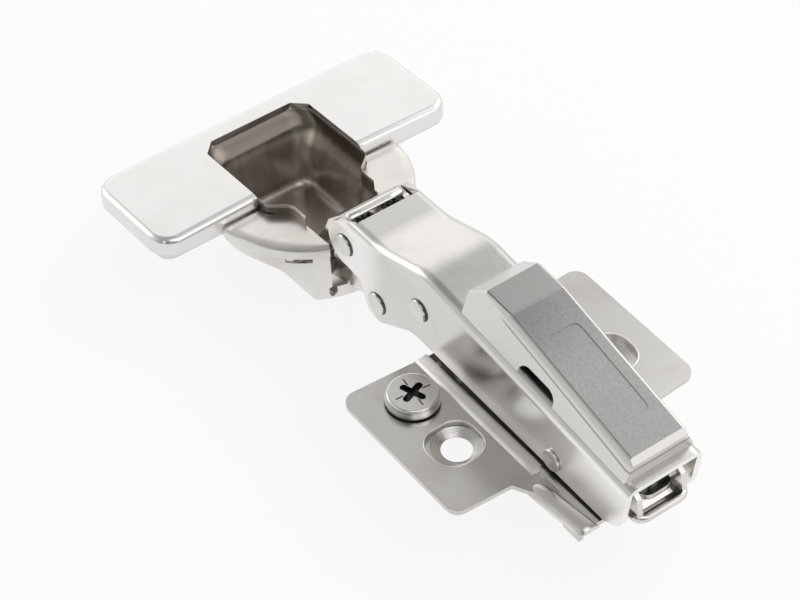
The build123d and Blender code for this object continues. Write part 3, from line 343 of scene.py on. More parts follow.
def arm_nickel(name, colour, roughness):
    """Arm's nickel: bright on the rise to the crest; finely grained behind it, where the top is
    darkened with painted shade, and paled with a painted reflection on the sides near the front
    and rear.
    """
    shader = Shader(name)
    place = shader.place()
    x = shader.axes(place)[0]
    up = shader.upward()
    cloud = shader.noise(place, 0.10, 3.0)
    tooth = shader.noise(place, 5.5, 3.0, 0.7)
    crest, cover = x.ramp(-20.5, -17.5), x.ramp(-15.5, -9.0)
    # Painted shade: the top faces past the crest are darkened, and they also take a fine grain.
    behind = up.ramp(0.75, 0.9) * crest * (1.0 - cover * 0.55)
    speck = tooth.ramp(0.40, 0.68) * behind
    shade = (cloud.ramp(0.4, 0.8) * 0.25 + behind * 0.42 + speck * 0.35).clamp()
    base = shader.mix(shade, colour, scaled(colour, 0.50))
    # Painted reflection: the sides near the rear and the front are paled.
    rear, front = x.ramp(6.0, 18.0), 1.0 - x.ramp(-38.0, -30.0)
    sides = (1.0 - up.abs().ramp(0.3, 0.7)) * (rear + front).clamp()
    base = shader.mix(sides, base, (0.90, 0.885, 0.865))
    rough = roughness + behind * 0.10 + sides * 0.08 + (cloud - 0.5) * 0.08
    return shader.finish(base, rough, shader.relief(tooth, 0.06 + behind * 0.30, 0.04))


def recess_nickel(name, colour, roughness):
    """Cam's nickel: bright head, with painted shade in the cross recess and on everything below
    the head's step.
    """
    shader = Shader(name)
    place = shader.place()
    x, y, z = shader.axes(place)
    tooth = shader.noise(place, 4.0, 2.0)
    across, along = x - CAM_AT[0], y - CAM_AT[1]
    reach = shader.math("SQRT", across * across + along * along)
    # Painted shade in the cross recess.
    inside = (1.0 - reach.ramp(2.9, 3.1)) * (1.0 - z.ramp(3.80, 3.92))
    # Painted shade below the head's step.
    low = 1.0 - z.ramp(2.5, 2.75)
    shade = (inside * 0.94 + low * 0.45 + tooth.ramp(0.5, 0.8) * 0.08).clamp()
    base = shader.mix(shade, colour, (0.035, 0.032, 0.03))
    rough = roughness + inside * 0.25 + (tooth - 0.5) * 0.06
    return shader.finish(base, rough, shader.relief(tooth, 0.06, 0.03))


def pocket_nickel(name, colour, roughness):
    """Drawn metal inside the cup: brown-grey, with faint streaks on the walls, and painted shade
    on the floor, deeper at its far end, and on the neck below the rim."""
    shader = Shader(name)
    place = shader.place()
    x, _, z = shader.axes(place)
    streaks = shader.noise(shader.stretch(place, (1.0, 1.0, 0.08)), 0.45, 2.0)
    cloud = shader.noise(place, 0.12, 2.0)
    # Painted shade on the floor, deeper at its far end.
    floor = shader.upward().ramp(0.55, 0.95)
    far = (x * -1.0).ramp(66.0, 76.0) * floor
    level = (x - CUP_AT[0]) * -math.sin(CUP_TILT) + (z - CUP_AT[1]) * math.cos(CUP_TILT)
    # Painted shade on the neck just below the rim.
    neck = level.ramp(-5.2, -3.4) * (1.0 - level.ramp(-1.5, -1.1))
    walls = (1.0 - floor) * streaks.ramp(0.35, 0.7)
    shade = (walls * 0.24 + floor * 0.66 + far * 0.36 + neck * 0.90 + cloud * 0.06).clamp()
    base = shader.mix(shade, colour, scaled(colour, 0.30, 0.28, 0.26))
    rough = roughness + (cloud - 0.5) * 0.08 + streaks * 0.05
    return shader.finish(base, rough, shader.relief(streaks, 0.10, 0.03))


def grained_cover(name, colour, shine):
    """Arm cover: grey grained top with a smoother, darker patch towards its front, bright nickel
    skirts, painted shade in a fold line, on the upper skirt on the -y side and in the gap along
    the top's -y edge, and a painted highlight along the top's +y edge.
    """
    shader = Shader(name)
    place = shader.place()
    x, y, z = shader.axes(place)
    up = shader.upward()
    pits = shader.noise(place, 8.0, 3.0, 0.75)
    coarse = shader.noise(place, 2.2, 3.0, 0.6)
    top = up.ramp(0.90, 0.96)
    grained = top * x.ramp(-0.9, 0.3)
    # The grain grows darker and smoother towards the front and the -y side.
    front_patch = (1.0 - x.ramp(-1.0, 15.0)) * (1.0 - y.ramp(-6.0, 7.0) * 0.5)
    speck = pits.ramp(0.42, 0.62) * 0.50 + coarse.ramp(0.4, 0.7) * 0.20 + front_patch * 0.60
    drop = 25.2 - x * 0.235 - z
    side = 1.0 - up.ramp(0.35, 0.65)
    # Painted shade of a fold line along the skirts, a little below their top edge.
    shaded_fold = (1.0 - (drop - 2.1).abs().ramp(0.08, 0.30)) * side * x.ramp(-3.0, 0.0)
    # Painted shade on the upper skirt on the -y side.
    shaded_shoulder = (1.0 - drop.ramp(0.5, 1.9)) * side * (y * -1.0).ramp(3.0, 5.0)
    # Painted shade in the gap along the top's -y edge, and a painted highlight along its +y edge.
    rolled = (1.0 - (y + 5.45).abs().ramp(0.12, 0.34)) * top
    glint = (1.0 - (y - 5.42).abs().ramp(0.05, 0.22)) * top
    base = shader.mix(
        top, shine, shader.mix((speck * grained).clamp(), colour, scaled(colour, 0.50)))
    # Painted shade of the gap, the fold and the shoulder, mixed towards near black.
    shade_lines = (rolled * 0.80 + shaded_fold * 0.55 + shaded_shoulder * 0.30).clamp()
    base = shader.mix(shade_lines, base, (0.08, 0.077, 0.073))
    base = shader.mix(glint * 0.85, base, (0.92, 0.91, 0.90))
    rough = 0.22 + top * 0.06 + grained * (0.10 + pits * 0.10) + coarse * 0.04
    return shader.finish(base, rough, shader.relief(pits * (0.06 + grained * 0.94), 0.30, 0.05))


def housing_plastic(name, colour):
    """Moulded plastic of the damper."""
    shader = Shader(name)
    place = shader.place()
    skin = shader.noise(place, 4.0, 3.0)
    cloud = shader.noise(place, 0.3, 2.0)
    base = shader.mix(cloud.ramp(0.3, 0.8), colour, scaled(colour, 1.35))
    return shader.finish(base, 0.42 + skin * 0.16, shader.relief(skin, 0.25, 0.04), 0.0)


FINISHES = {}


def finish_set(settings):
    """Every finish of the hinge by its short name."""
    colour = tuple(settings.nickel)
    gloss = settings.gloss
    return {
        "plate": nickel("plate_nickel", scaled(colour, 0.96), gloss, 0.10, 0.05),
        "arm": arm_nickel("arm_nickel", colour, gloss - 0.02),
        # The links' nickel is made paler: painted light against the shade they sit in.
        "link": nickel("link_nickel", scaled(colour, 1.12), gloss - 0.05),
        "cup": nickel("cup_nickel", scaled(colour, 1.1), gloss),
        "pocket": pocket_nickel(
            "pocket_nickel", scaled(colour, 0.98, 0.945, 0.90), gloss + 0.04),
        "cap": nickel("cap_nickel", settings.cap, gloss, 0.04, 0.01, (0.93, 0.925, 0.92)),
        "cam": recess_nickel("cam_nickel", scaled(colour, 1.05), gloss - 0.02),
        "pin": nickel("pin_nickel", scaled(colour, 1.05), gloss - 0.07, 0.08, 0.02),
        "wire": nickel("wire_steel", scaled(colour, 0.55), gloss, 0.10, 0.02),
        "cover": grained_cover("cover_grain", settings.grain, colour),
        "damper": housing_plastic("damper_plastic", settings.plastic),
        # The ledge finish is the nickel made brighter with a painted highlight, with a rougher
        # grained face; the window beads wear it too.
        "ledge": nickel("ledge_nickel", scaled(colour, 1.30), gloss + 0.16, 0.12, 0.30),
        # Dark finish of the cam's marks and of the painted shade crescents round the pin heads.
        "mark": nickel("mark_dark", (0.10, 0.095, 0.09), gloss + 0.10, 0.05),
    }


class HINGE_OT_finishes(bpy.types.Operator):
    """Give each solid its finish"""
    bl_idname = "hinge.finishes"
    bl_label = "Finishes"

    def execute(self, context):
        """Puts one material on each node."""
        FINISHES.update(finish_set(context.scene.hinge_finish))
        wearing = {
            "plate": ("base_plate", "mounting_plate", "adapter"),
            "arm": ("arm",),
            "link": ("outer_link", "inner_link", "release_lever"),
            "cup": ("cup",),
            "cap": ("cup_cover",),
            "cam": ("height_cam", "depth_cam", "side_screw"),
            "pin": ("hook_pin", "lever_pin", "guide_rivets", "arm_pin_front", "arm_pin_lower",
                    "damper_pin", "damper_rod", "cup_staple", "cup_stud"),
            "wire": ("closing_spring", "lever_spring"),
            "cover": ("arm_cover",),
            "damper": ("damper_body",),
        }
        for finish, nodes in wearing.items():
            for node in nodes:
                dress(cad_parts[node], FINISHES[finish])
        return {"FINISHED"}


def dress(piece, material):
    """Puts one material in every slot of a piece."""
    if not piece.material_slots:
        piece.data.materials.append(material)
    for slot in piece.material_slots:
        slot.material = material


# Meshes

@contextmanager
def editing(mesh):
    """Opens a mesh to bmesh operators and writes it back."""
    work = bmesh.new()
    work.from_mesh(mesh)
    yield work
    work.to_mesh(mesh)
    work.free()


def merge(work):
    """Merges vertices that lie in one place."""
    bmesh.ops.remove_doubles(work, verts=work.verts, dist=1e-7)


def grid_mesh(name, rows, skip=(), closed=False):
    """Mesh of quads from rows of points, without the cells in skip; closed joins the last
    column to the first."""
    mesh = bpy.data.meshes.new(name)
    wide = len(rows[0])
    points = [point for row in rows for point in row]
    faces = []
    for j in range(len(rows) - 1):
        for i in range(wide if closed else wide - 1):
            if (j, i) not in skip:
                k = (i + 1) % wide
                faces.append((
                    j * wide + i, j * wide + k, (j + 1) * wide + k, (j + 1) * wide + i))
    mesh.from_pydata(points, [], faces)
    return mesh


def capped(mesh):
    """The mesh with its open ends closed."""
    with editing(mesh) as work:
        bmesh.ops.holes_fill(work, edges=[edge for edge in work.edges if edge.is_boundary])
    return mesh


def swept(name, stations, section):
    """Closed mesh of a section carried along x; a station is x and the section's values."""
    rows = [[Vector((x, y, z)) * MM for y, z in section(*values)] for x, *values in stations]
    return capped(grid_mesh(name, rows, closed=True))


def carried(name, mesh, kind):
    """An object that carries a mesh under one modifier, and the modifier."""
    carrier = bpy.data.objects.new(name, mesh)
    bpy.context.collection.objects.link(carrier)
    return carrier, carrier.modifiers.new("form", kind)


def baked(carrier):
    """The mesh that a carrier's modifier makes; the carrier goes."""
    graph = bpy.context.evaluated_depsgraph_get()
    mesh = bpy.data.meshes.new_from_object(carrier.evaluated_get(graph))
    bpy.data.objects.remove(carrier)
    return mesh


def thicken(mesh, sheet):
    """The mesh as a wall of a sheet's thickness, made by a Solidify modifier."""
    with editing(mesh) as work:
        merge(work)
    carrier, wall = carried(mesh.name, mesh, "SOLIDIFY")
    wall.thickness = sheet
    wall.offset = -1.0
    wall.use_even_offset = False
    return baked(carrier)


def place_piece(name, mesh, body, finish, smooth=40.0):
    """Adds a piece that rides on a body and takes a slot's finish, smooth up to an angle."""
    with editing(mesh) as work:
        merge(work)
        bmesh.ops.dissolve_degenerate(work, edges=work.edges, dist=1e-8)
        bmesh.ops.recalc_face_normals(work, faces=work.faces)
    mesh.polygons.foreach_set("use_smooth", [True] * len(mesh.polygons))
    mesh.set_sharp_from_angle(angle=math.radians(smooth))
    piece = bpy.data.objects.new(name, mesh)
    bpy.context.collection.objects.link(piece)
    mesh.materials.clear()
    mesh.materials.append(FINISHES[finish])
    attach(piece, body)


# Cup's formed sheet

SKIRT_SPAN = (24.6, 86.0)
SKIRT_SLOT = (33.0, 49.0)
# Degrees from the arm's side, and the skirt's lower edge there.
SKIRT_EDGE = ((22, -12.9), (27, -13.7), (33, -13.6), (40, -12.2), (48, -10.3), (57, -8.8),
              (68, -8.1), (90, -7.95))
# Back, half width, corner radius and level of the pocket's wall, from the window down.
POCKET_WALL = ((19.78, MOUTH, 4.4, -0.62), (19.62, MOUTH, 4.4, -1.25),
               (18.2, MOUTH - 0.05, 4.6, -2.3), (16.9, MOUTH - 0.12, 4.8, -3.1),
               (16.5, MOUTH - 0.25, 4.7, -3.8), (16.15, 10.0, 4.0, -6.2),
               (15.82, 8.86, 3.4, -9.0), (15.8, 8.84, 3.3, -12.0))
POCKET_FOOT = (15.8, 8.84, 3.3)
FOOT_LEVEL = -14.08
FOOT_BEND = 2.1


def cup_point(u, v, w):
    """Point of the cup's own frame, u away from the arm and w up from the door, in metres."""
    cos_t, sin_t = math.cos(CUP_TILT), math.sin(CUP_TILT)
    return Vector((
        CUP_AT[0] - u * cos_t - w * sin_t, v, CUP_AT[1] - u * sin_t + w * cos_t)) * MM


def throat_edge(u, mouth=MOUTH):
    """Half width of the cup's opening at u, from the throat to the mouth in an S-curve."""
    start, end = -5.1, -0.9
    t = min(max((u - start) / (end - start), 0.0), 1.0)
    return THROAT + (mouth - THROAT) * (t * t * (3 - 2 * t))


def pocket_row(back, half, corner, level, inset=0.0):
    """One level of the pocket's wall: throat, S-curve, side, round corner, back and the same
    again."""
    start, steps = -8.6, 21
    corner = max(corner - inset, 0.35)
    back -= inset
    half = max(half - inset, 0.0)
    turn = back - corner
    side = []
    for k in range(steps + 1):
        u = start + (turn - start) * k / steps
        width = throat_edge(u, half + inset) - inset
        side.append((u, min(max(width, 0.0), half + inset)))
    run = max(half - corner, 0.0)
    for k in range(1, 9):
        angle = math.radians(90 * k / 8)
        side.append((
            turn + corner * math.sin(angle), run + min(corner, half) * math.cos(angle)))
    back_run = [(back, run * (1 - 2 * k / 8)) for k in range(1, 8)]
    path = side + back_run + [(u, -v) for u, v in reversed(side)]
    return [cup_point(u, v, level) for u, v in path]


class HINGE_OT_pocket(bpy.types.Operator):
    """Add the drawn liner of the cup's pocket"""
    bl_idname = "hinge.pocket"
    bl_label = "Pocket liner"

    def execute(self, context):
        """Lofts the liner from the window's rim down to the floor."""
        rows = [pocket_row(*wall) for wall in POCKET_WALL]
        for k in range(7):
            angle = math.radians(90 * k / 6)
            rows.append(pocket_row(
                *POCKET_FOOT, FOOT_LEVEL - FOOT_BEND * math.sin(angle),
                FOOT_BEND * (1 - math.cos(angle))))
        for inset in (3.5, 5.5, 7.5, POCKET_FOOT[1]):
            rows.append(pocket_row(*POCKET_FOOT, FOOT_LEVEL - FOOT_BEND, inset))
        liner = grid_mesh("pocket_liner", rows)
        liner.flip_normals()
        liner = thicken(liner, context.scene.hinge_fittings.liner_sheet)
        place_piece("pocket_liner", liner, "cup", "pocket", 50)
        return {"FINISHED"}


def skirt_low(angle):
    """Height of the skirt's lower edge at an angle in degrees from the arm's side."""
    for (a, low), (b, high) in zip(SKIRT_EDGE, SKIRT_EDGE[1:]):
        if angle <= b:
            return low + (high - low) * (angle - a) / (b - a)


def rim_start(theta, radius):
    """Radius at which the rim begins along an angle, on the opening's S-curve."""
    reach = 7.0
    while reach < radius - 0.4:
        u = RIM_CENTRE - reach * math.cos(theta)
        if reach * math.sin(theta) >= throat_edge(u) - 0.02:
            break
        reach += 0.05
    return reach


class HINGE_OT_skirts(bpy.types.Operator):
    """Add the cup's drawn rim and skirt on both sides of the throat"""
    bl_idname = "hinge.skirts"
    bl_label = "Cup skirts"

    def execute(self, context):
        """Drapes a sheet over the rim and down to the skirt's curved lower edge."""
        settings = context.scene.hinge_fittings
        rim, skirt = settings.rim_radius / MM, settings.skirt_radius / MM
        first, last = SKIRT_SPAN
        steps = 44
        edge = [(rim - 0.16, -3.34), (rim - 0.02, -3.6), (rim, -4.0), (rim - 0.02, -4.45),
                (rim - 0.22, -4.78), (skirt + 0.12, -5.0)]
        for name, side in (("cup_skirt_left", -1), ("cup_skirt_right", 1)):
            columns, skip = [], set()
            for column in range(steps + 1):
                angle = first + (last - first) * column / steps
                theta = math.radians(angle)
                inner, low = rim_start(theta, rim), skirt_low(angle)
                flat = [(inner + (rim - 0.45 - inner) * k / 6, -3.24) for k in range(7)]
                drop = [(skirt, -5.3), (skirt, -6.5)]
                drop += [(skirt - 0.05 - 0.9 * (k / 7) ** 3, -6.5 + (low + 6.5) * k / 7)
                         for k in range(1, 8)]
                columns.append([
                    cup_point(RIM_CENTRE - r * math.cos(theta), side * r * math.sin(theta), w)
                    for r, w in flat + edge + drop])
                if SKIRT_SLOT[0] < angle < SKIRT_SLOT[1]:
                    skip.add((column, len(flat) + len(edge)))
            sheet = grid_mesh(name, columns, skip)
            if side > 0:
                sheet.flip_normals()
            sheet = thicken(sheet, settings.skirt_sheet)
            place_piece(name, sheet, "cup", "cup", 35)
        return {"FINISHED"}


# Plate's and arm's formed parts

class HINGE_OT_ledges(bpy.types.Operator):
    """Add the plate's raised ledges beside the arm"""
    bl_idname = "hinge.ledges"
    bl_label = "Ledges"

    def execute(self, context):
        """Sweeps a low section with a sloped outer side along each side of the plate."""
        inner, low = 8.12, 1.80
        outer = inner + context.scene.hinge_fittings.ledge_width / MM
        stations = ((-18.6, 0.0), (-18.45, 0.7), (-18.1, 1.0), (-4.0, 1.0), (10.0, 1.0),
                    (12.0, 0.7), (13.0, 0.0))
        for name, side in (("ledge_left", -1), ("ledge_right", 1)):
            def section(rise, side=side):
                """Section of the ledge, lower at its ends."""
                top = 1.93 + 0.40 * rise
                return [(side * y, z) for y, z in (
                    (inner, low), (inner, top - 0.08), (inner + 0.07, top), (outer - 0.1, top),
                    (outer + 0.2, top - 0.10), (outer + 0.6, PLATE_TOP), (outer + 0.6, low))]
            mesh = swept(name, stations, section)
            place_piece(name, mesh, "plate", "ledge", 35)
        return {"FINISHED"}


class HINGE_OT_tails(bpy.types.Operator):
    """Add the plate's rolled tails behind its wings"""
    bl_idname = "hinge.tails"
    bl_label = "Tails"

    def execute(self, context):
        """Sweeps a half round section from each wing's neck to the tail's end."""
        half = context.scene.hinge_fittings.tail_width / MM / 2
        below, height = 1.08, 1.30
        arc = [(half * math.cos(math.pi * k / 10), math.sin(math.pi * k / 10))
               for k in range(11)]
        stations = ((12.4, 11.9, 0.1), (13.4, 11.8, 0.35), (14.6, 11.6, 0.62),
                    (16.0, 11.4, 0.85), (18.0, 11.2, 0.96), (22.0, 10.8, 1.0),
                    (26.4, 10.3, 1.0), (27.0, 10.25, 0.93), (27.3, 10.2, 0.8))
        for name, side in (("tail_left", -1), ("tail_right", 1)):
            def section(middle, rise, side=side):
                """Half round section, flat below, that narrows as it sinks."""
                narrow = 0.6 + 0.4 * rise
                return [(side * (middle + across * narrow), below + height * rise * up)
                        for across, up in arc]
            mesh = swept(name, stations, section)
            place_piece(name, mesh, "plate", "cup", 45)
        return {"FINISHED"}


class HINGE_OT_link_roll(bpy.types.Operator):
    """Add the rolled front edge of the outer link"""
    bl_idname = "hinge.link_roll"
    bl_label = "Link roll"

    def execute(self, context):
        """Sweeps the roll's section across the link, with rounded ends."""
        half = context.scene.hinge_fittings.roll_half / MM
        section = ((-45.45, 12.2), (-45.35, 12.75), (-45.05, 13.2), (-44.6, 13.5),
                   (-44.1, 13.62), (-43.6, 13.55), (-43.2, 13.35), (-43.1, 13.05),
                   (-43.3, 12.85), (-43.9, 12.8), (-44.5, 12.6), (-44.95, 12.1))
        middle_x, middle_z = -44.0, 12.9
        end = ((1.0, 0.25), (0.985, 0.62), (0.955, 0.85), (0.91, 1.0))
        shares = [(-share, shrink) for share, shrink in end]
        shares += [(-0.5, 1.0), (0.0, 1.0), (0.5, 1.0), *reversed(end)]
        rows = [[
            Vector((middle_x + (x - middle_x) * shrink, half * share,
                    middle_z + (z - middle_z) * shrink)) * MM
            for x, z in section] for share, shrink in shares]
        mesh = capped(grid_mesh("link_roll", rows, closed=True))
        place_piece("link_roll", mesh, "outer_link", "link", 50)
        return {"FINISHED"}


class HINGE_OT_pin_shade_crescents(bpy.types.Operator):
    """Add a dark crescent of painted shade round each pin's head on the arm's sides"""
    bl_idname = "hinge.pin_grooves"
    bl_label = "Pin grooves"

    def execute(self, context):
        """Sets a flat thin dark ring of painted shade under the rim of each head, a little off its
        centre.
        """
        settings = context.scene.hinge_fittings
        radius, crescent_width = settings.head_radius / MM, settings.crescent_width / MM
        steps, widest = 40, math.radians(35)
        inner, near, far = radius - 0.5, 7.86, 7.93
        work = bmesh.new()
        for pin_x, pin_z in PINS_AT:
            for side in (-1, 1):
                rows = []
                for k in range(steps):
                    angle = 2 * math.pi * k / steps
                    outer = radius + crescent_width * max(0.12, math.cos(angle - widest))
                    rows.append([
                        Vector((pin_x + r * math.cos(angle), side * y,
                                pin_z + r * math.sin(angle))) * MM
                        for r, y in ((inner, near), (outer, near), (outer, far), (inner, far))])
                ring = grid_mesh("ring", rows + rows[:1], closed=True)
                work.from_mesh(ring)
                bpy.data.meshes.remove(ring)
        mesh = bpy.data.meshes.new("pin_grooves")
        work.to_mesh(mesh)
        work.free()
        place_piece("pin_grooves", mesh, "arm", "mark", 30)
        return {"FINISHED"}


# Repeated marks

class Tree(Builder):
    """A Geometry Nodes tree with named sizes as its inputs."""

    def __init__(self, name, sizes):
        super().__init__(bpy.data.node_groups.new(name, "GeometryNodeTree"))
        face = self.tree.interface
        face.new_socket("Geometry", in_out="OUTPUT", socket_type="NodeSocketGeometry")
        self.sizes = {}
        for label, value in sizes.items():
            kind = "NodeSocketInt" if isinstance(value, int) else "NodeSocketFloat"
            socket = face.new_socket(label, in_out="INPUT", socket_type=kind)
            socket.default_value = value
            self.sizes[socket.identifier] = value
        self.given = self.tree.nodes.new("NodeGroupInput")

    def size(self, label):
        """A named size."""
        return Socket(self, self.given.outputs[label])

    def vector(self, x=0.0, y=0.0, z=0.0):
        """A vector of three values."""
        return self.value("ShaderNodeCombineXYZ", None, {0: x, 1: y, 2: z})

    def moved(self, geometry, offset):
        """Geometry shifted by an offset."""
        return self.value("GeometryNodeTransform", None, {0: geometry, "Translation": offset})

    def points(self, count):
        """A number of points, and the index of each."""
        made = self.value("GeometryNodePoints", None, {"Count": count})
        return made, self.value("GeometryNodeInputIndex")

    def instances(self, points, instance, **inputs):
        """A copy of one geometry on each point."""
        return self.value("GeometryNodeInstanceOnPoints", None, {
            "Points": points, "Instance": instance, **inputs})

    def realized(self, geometry):
        """Instances made into geometry of their own."""
        return self.value("GeometryNodeRealizeInstances", None, {0: geometry})

    def wired(self, outlines, radius):
        """Outlines made into round wires."""
        section = self.value(
            "GeometryNodeCurvePrimitiveCircle", None, {"Resolution": 8, "Radius": radius})
        return self.value(
            "GeometryNodeCurveToMesh", None, {0: self.realized(outlines), 1: section})

    def mesh(self, geometry, finish):
        """Gives the geometry a finish and returns the tree's result as one plain mesh."""
        dressed = self.value("GeometryNodeSetMaterial", None, {
            0: self.realized(geometry), "Material": FINISHES[finish]})
        self.tree.links.new(dressed.socket, self.tree.nodes.new("NodeGroupOutput").inputs[0])
        name = self.tree.name
        carrier, modifier = carried(name, bpy.data.meshes.new(name), "NODES")
        modifier.node_group = self.tree
        for identifier, value in self.sizes.items():
            modifier[identifier] = value
        return baked(carrier)


class HINGE_OT_cam_ticks(bpy.types.Operator):
    """Add the thin marks between the arms of the height cam's cross recess"""
    bl_idname = "hinge.cam_ticks"
    bl_label = "Cam marks"

    def execute(self, context):
        """Spreads the marks evenly round the recess."""
        settings = context.scene.hinge_fittings
        tree = Tree("cam_ticks", {
            "Count": settings.ticks, "Length": settings.tick_length, "Width": 0.26 * MM,
            "Radius": 2.55 * MM, "Turn": math.radians(-7.0), "Thickness": 0.03 * MM,
            "Height": 4.005 * MM})
        size = tree.vector(tree.size("Length"), tree.size("Width"), tree.size("Thickness"))
        bar = tree.value("GeometryNodeMeshCube", None, {"Size": size})
        mark = tree.moved(bar, tree.vector(tree.size("Radius")))
        count = tree.size("Count")
        points, index = tree.points(count)
        angle = index * (2 * math.pi / count) + tree.size("Turn")
        marks = tree.instances(points, mark, Rotation=tree.vector(z=angle))
        marks = tree.moved(
            marks, tree.vector(CAM_AT[0] * MM, CAM_AT[1] * MM, tree.size("Height")))
        place_piece("cam_ticks", tree.mesh(marks, "mark"), "height_cam", "mark")
        return {"FINISHED"}


class HINGE_OT_dish_rings(bpy.types.Operator):
    """Add the turned rings round the plate's screw holes"""
    bl_idname = "hinge.dish_rings"
    bl_label = "Dish rings"

    def execute(self, context):
        """Places one ring per step outwards up the screw's cone, at both holes."""
        settings = context.scene.hinge_fittings
        tree = Tree("dish_rings", {
            "Rings": settings.rings, "Pitch": settings.ring_pitch, "First": 3.55 * MM,
            "Wire": 0.06 * MM, "Hole": 16.0 * MM, "Height": 0.46 * MM, "Slope": 0.414})
        points, index = tree.points(tree.size("Rings") * 2)
        step = tree.math("FLOOR", index / 2.0) * tree.size("Pitch")
        side = tree.math("MODULO", index, 2.0) * 2.0 - 1.0
        spot = tree.vector(
            0.0, side * tree.size("Hole"), step * tree.size("Slope") + tree.size("Height"))
        placed = tree.value("GeometryNodeSetPosition", None, {0: points, "Position": spot})
        circle = tree.value(
            "GeometryNodeCurvePrimitiveCircle", None, {"Resolution": 64, "Radius": 1.0})
        radius = step + tree.size("First")
        hoops = tree.instances(placed, circle, Scale=tree.vector(radius, radius, radius))
        mesh = tree.mesh(tree.wired(hoops, tree.size("Wire")), "cup")
        place_piece("dish_rings", mesh, "base", "cup", 60)
        return {"FINISHED"}


class HINGE_OT_window_beads(bpy.types.Operator):
    """Add the rounded edges of the plate's two windows"""
    bl_idname = "hinge.window_beads"
    bl_label = "Window beads"

    def execute(self, context):
        """Carries a round wire along each window's outline."""
        tree = Tree("window_beads", {
            "Long": 9.02 * MM, "Wide": 9.67 * MM, "Corner": 3.72 * MM,
            "Wire": context.scene.hinge_fittings.bead, "Centre": 16.5 * MM,
            "Height": 1.88 * MM})
        outline = tree.value("GeometryNodeCurvePrimitiveQuadrilateral", None, {
            0: tree.size("Long"), 1: tree.size("Wide")})
        rounded = tree.value("GeometryNodeFilletCurve", {"mode": "POLY"}, {
            "Curve": outline, "Count": 10, "Radius": tree.size("Corner")})
        points, index = tree.points(2)
        spot = tree.vector(
            0.0, (index * 2.0 - 1.0) * tree.size("Centre"), tree.size("Height"))
        placed = tree.value("GeometryNodeSetPosition", None, {0: points, "Position": spot})
        outlines = tree.instances(placed, rounded)
        # The beads take the ledge's brightened finish: a painted highlight on the window edges.
        mesh = tree.mesh(tree.wired(outlines, tree.size("Wire")), "ledge")
        place_piece("window_beads", mesh, "plate", "ledge", 60)
        return {"FINISHED"}


# Stage

def look_matrix(settings):
    """Camera's placement from its angles, distance and shifts."""
    a, e = settings.azimuth, settings.elevation
    right = Vector((math.cos(a), math.sin(a), 0))
    back = Vector((math.sin(a) * math.cos(e), -math.cos(a) * math.cos(e), math.sin(e)))
    up = back.cross(right)
    spot = right * settings.across + up * settings.upward + back * settings.distance
    turn = Matrix((right, up, back)).transposed().to_4x4()
    return Matrix.Translation(spot) @ turn @ Matrix.Rotation(settings.roll, 4, "Z")


def area_lamp(name, aim, offset, size, power):
    """Soft square lamp at an offset from the point that it lights."""
    data = bpy.data.lights.new(name, "AREA")
    data.size = size
    data.energy = power
    lamp = bpy.data.objects.new(name, data)
    bpy.context.collection.objects.link(lamp)
    lamp.location = aim + Vector(offset)
    lamp.rotation_euler = (-Vector(offset)).to_track_quat("-Z", "Y").to_euler()


def studio_world():
    """White seen directly; a soft studio in the light and the reflections, pale behind and
    dark in front."""
    world = bpy.data.worlds.new("studio")
    bpy.context.scene.world = world
    shader = Shader("studio", world)
    aim = shader.value("ShaderNodeTexCoord", output="Generated")
    height = shader.axes(aim)[2]
    behind = shader.toward(aim, (-0.87, 0.40, 0.28)).ramp(0.86, 0.99)
    right = shader.toward(aim, (-0.15, 0.86, 0.48)).ramp(0.70, 0.98)
    rear = shader.toward(aim, (0.69, 0.42, 0.53)).ramp(0.80, 0.99)
    front = shader.toward(aim, (0.72, -0.60, 0.30)).ramp(0.35, 0.95)
    level = 0.74 + height.ramp(0.55, 1.0) * -0.34
    level = level + behind * 0.55 + right * 0.40 + rear * 0.70 - front * 0.45
    soft = shader.value(
        "ShaderNodeBackground", None, {"Color": (1.0, 0.992, 0.982, 1.0), "Strength": level})
    white = shader.value("ShaderNodeBackground", None, {"Color": WHITE, "Strength": 1.0})
    mirrored = shader.rays("Is Glossy Ray", "Is Transmission Ray")
    low = mirrored * (1.0 - height.ramp(0.02, 0.22))
    shader.blend((shader.rays("Is Camera Ray") + low).clamp(), soft, white)


def floor_finish():
    """Plain white floor that keeps a faint shadow."""
    shader = Shader("floor_white")
    matte = shader.value(
        "ShaderNodeBsdfDiffuse", None, {"Color": (0.90, 0.90, 0.90, 1.0), "Roughness": 0.0})
    white = shader.value("ShaderNodeEmission", None, {"Color": WHITE, "Strength": 1.0})
    seen = shader.rays("Is Camera Ray", "Is Glossy Ray", "Is Transmission Ray").clamp()
    return shader.blend(seen * 0.85, matte, white)


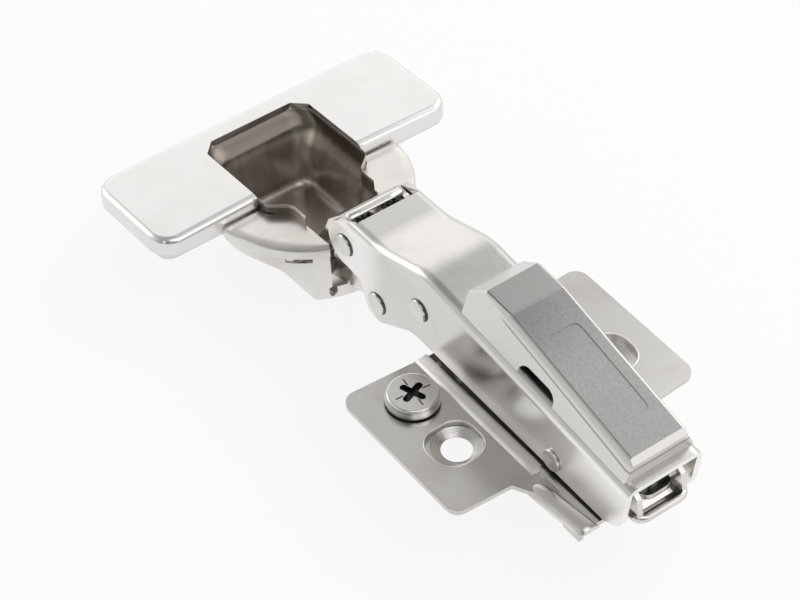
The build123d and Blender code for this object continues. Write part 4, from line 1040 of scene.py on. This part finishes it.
class HINGE_OT_stage(bpy.types.Operator):
    """Add the floor, lamps, world and camera"""
    bl_idname = "hinge.stage"
    bl_label = "Stage"

    def execute(self, context):
        """Builds the stage round the object's box."""
        settings = context.scene.hinge_stage
        low, high = (Vector(corner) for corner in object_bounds())
        middle = (low + high) / 2
        half, level = 3.0, low.z - 0.2 * MM
        mesh = bpy.data.meshes.new("floor")
        mesh.from_pydata([
            (x * half, y * half, level) for x, y in ((-1, -1), (1, -1), (1, 1), (-1, 1))],
            [], [(0, 1, 2, 3)])
        mesh.materials.append(floor_finish())
        floor = bpy.data.objects.new("floor", mesh)
        context.collection.objects.link(floor)
        floor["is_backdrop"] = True
        power = settings.lamp
        area_lamp("lamp_top", middle, (0.30, -0.05, 0.60), 0.5, 0.9 * power)
        area_lamp("lamp_back", middle, (-0.02, 0.34, 0.30), 0.30, 0.42 * power)
        area_lamp("lamp_left", middle, (-0.50, -0.25, 0.22), 0.35, 0.42 * power)
        studio_world()
        data = bpy.data.cameras.new("camera")
        data.lens = settings.lens
        data.sensor_width = 36.0
        data.clip_start = 0.01
        camera = bpy.data.objects.new("camera", data)
        context.collection.objects.link(camera)
        camera.matrix_world = look_matrix(settings)
        context.scene.camera = camera
        context.scene.view_settings.view_transform = "Standard"
        return {"FINISHED"}


class HINGE_PT_panel(bpy.types.Panel):
    """Sidebar panel that lists the hinge's steps and settings"""
    bl_label = "Hinge"
    bl_idname = "HINGE_PT_panel"
    bl_space_type = "VIEW_3D"
    bl_region_type = "UI"
    bl_category = "Hinge"

    def draw(self, context):
        """Lists settings and steps."""
        scene = context.scene
        for group in (scene.hinge_finish, scene.hinge_fittings, scene.hinge_stage):
            for key in group.__annotations__:
                self.layout.prop(group, key)
        for step in STEPS:
            self.layout.operator(step.bl_idname)


STEPS = (HINGE_OT_finishes, HINGE_OT_pocket, HINGE_OT_skirts, HINGE_OT_ledges, HINGE_OT_tails,
         HINGE_OT_link_roll, HINGE_OT_pin_shade_crescents, HINGE_OT_cam_ticks, HINGE_OT_dish_rings,
         HINGE_OT_window_beads, HINGE_OT_stage)
CLASSES = (FinishSettings, FittingSettings, StageSettings, *STEPS, HINGE_PT_panel)


def register():
    """Registers the classes and the settings."""
    for cls in CLASSES:
        bpy.utils.register_class(cls)
    bpy.types.Scene.hinge_finish = bpy.props.PointerProperty(type=FinishSettings)
    bpy.types.Scene.hinge_fittings = bpy.props.PointerProperty(type=FittingSettings)
    bpy.types.Scene.hinge_stage = bpy.props.PointerProperty(type=StageSettings)


def unregister():
    """Takes the settings and classes away."""
    del bpy.types.Scene.hinge_stage
    del bpy.types.Scene.hinge_fittings
    del bpy.types.Scene.hinge_finish
    for cls in reversed(CLASSES):
        bpy.utils.unregister_class(cls)


def main():
    """Runs every step in order."""
    register()
    bpy.ops.hinge.finishes()
    bpy.ops.hinge.pocket()
    bpy.ops.hinge.skirts()
    bpy.ops.hinge.ledges()
    bpy.ops.hinge.tails()
    bpy.ops.hinge.link_roll()
    bpy.ops.hinge.pin_grooves()
    bpy.ops.hinge.cam_ticks()
    bpy.ops.hinge.dish_rings()
    bpy.ops.hinge.window_beads()
    bpy.ops.hinge.stage()


if __name__ == "__main__":
    main()
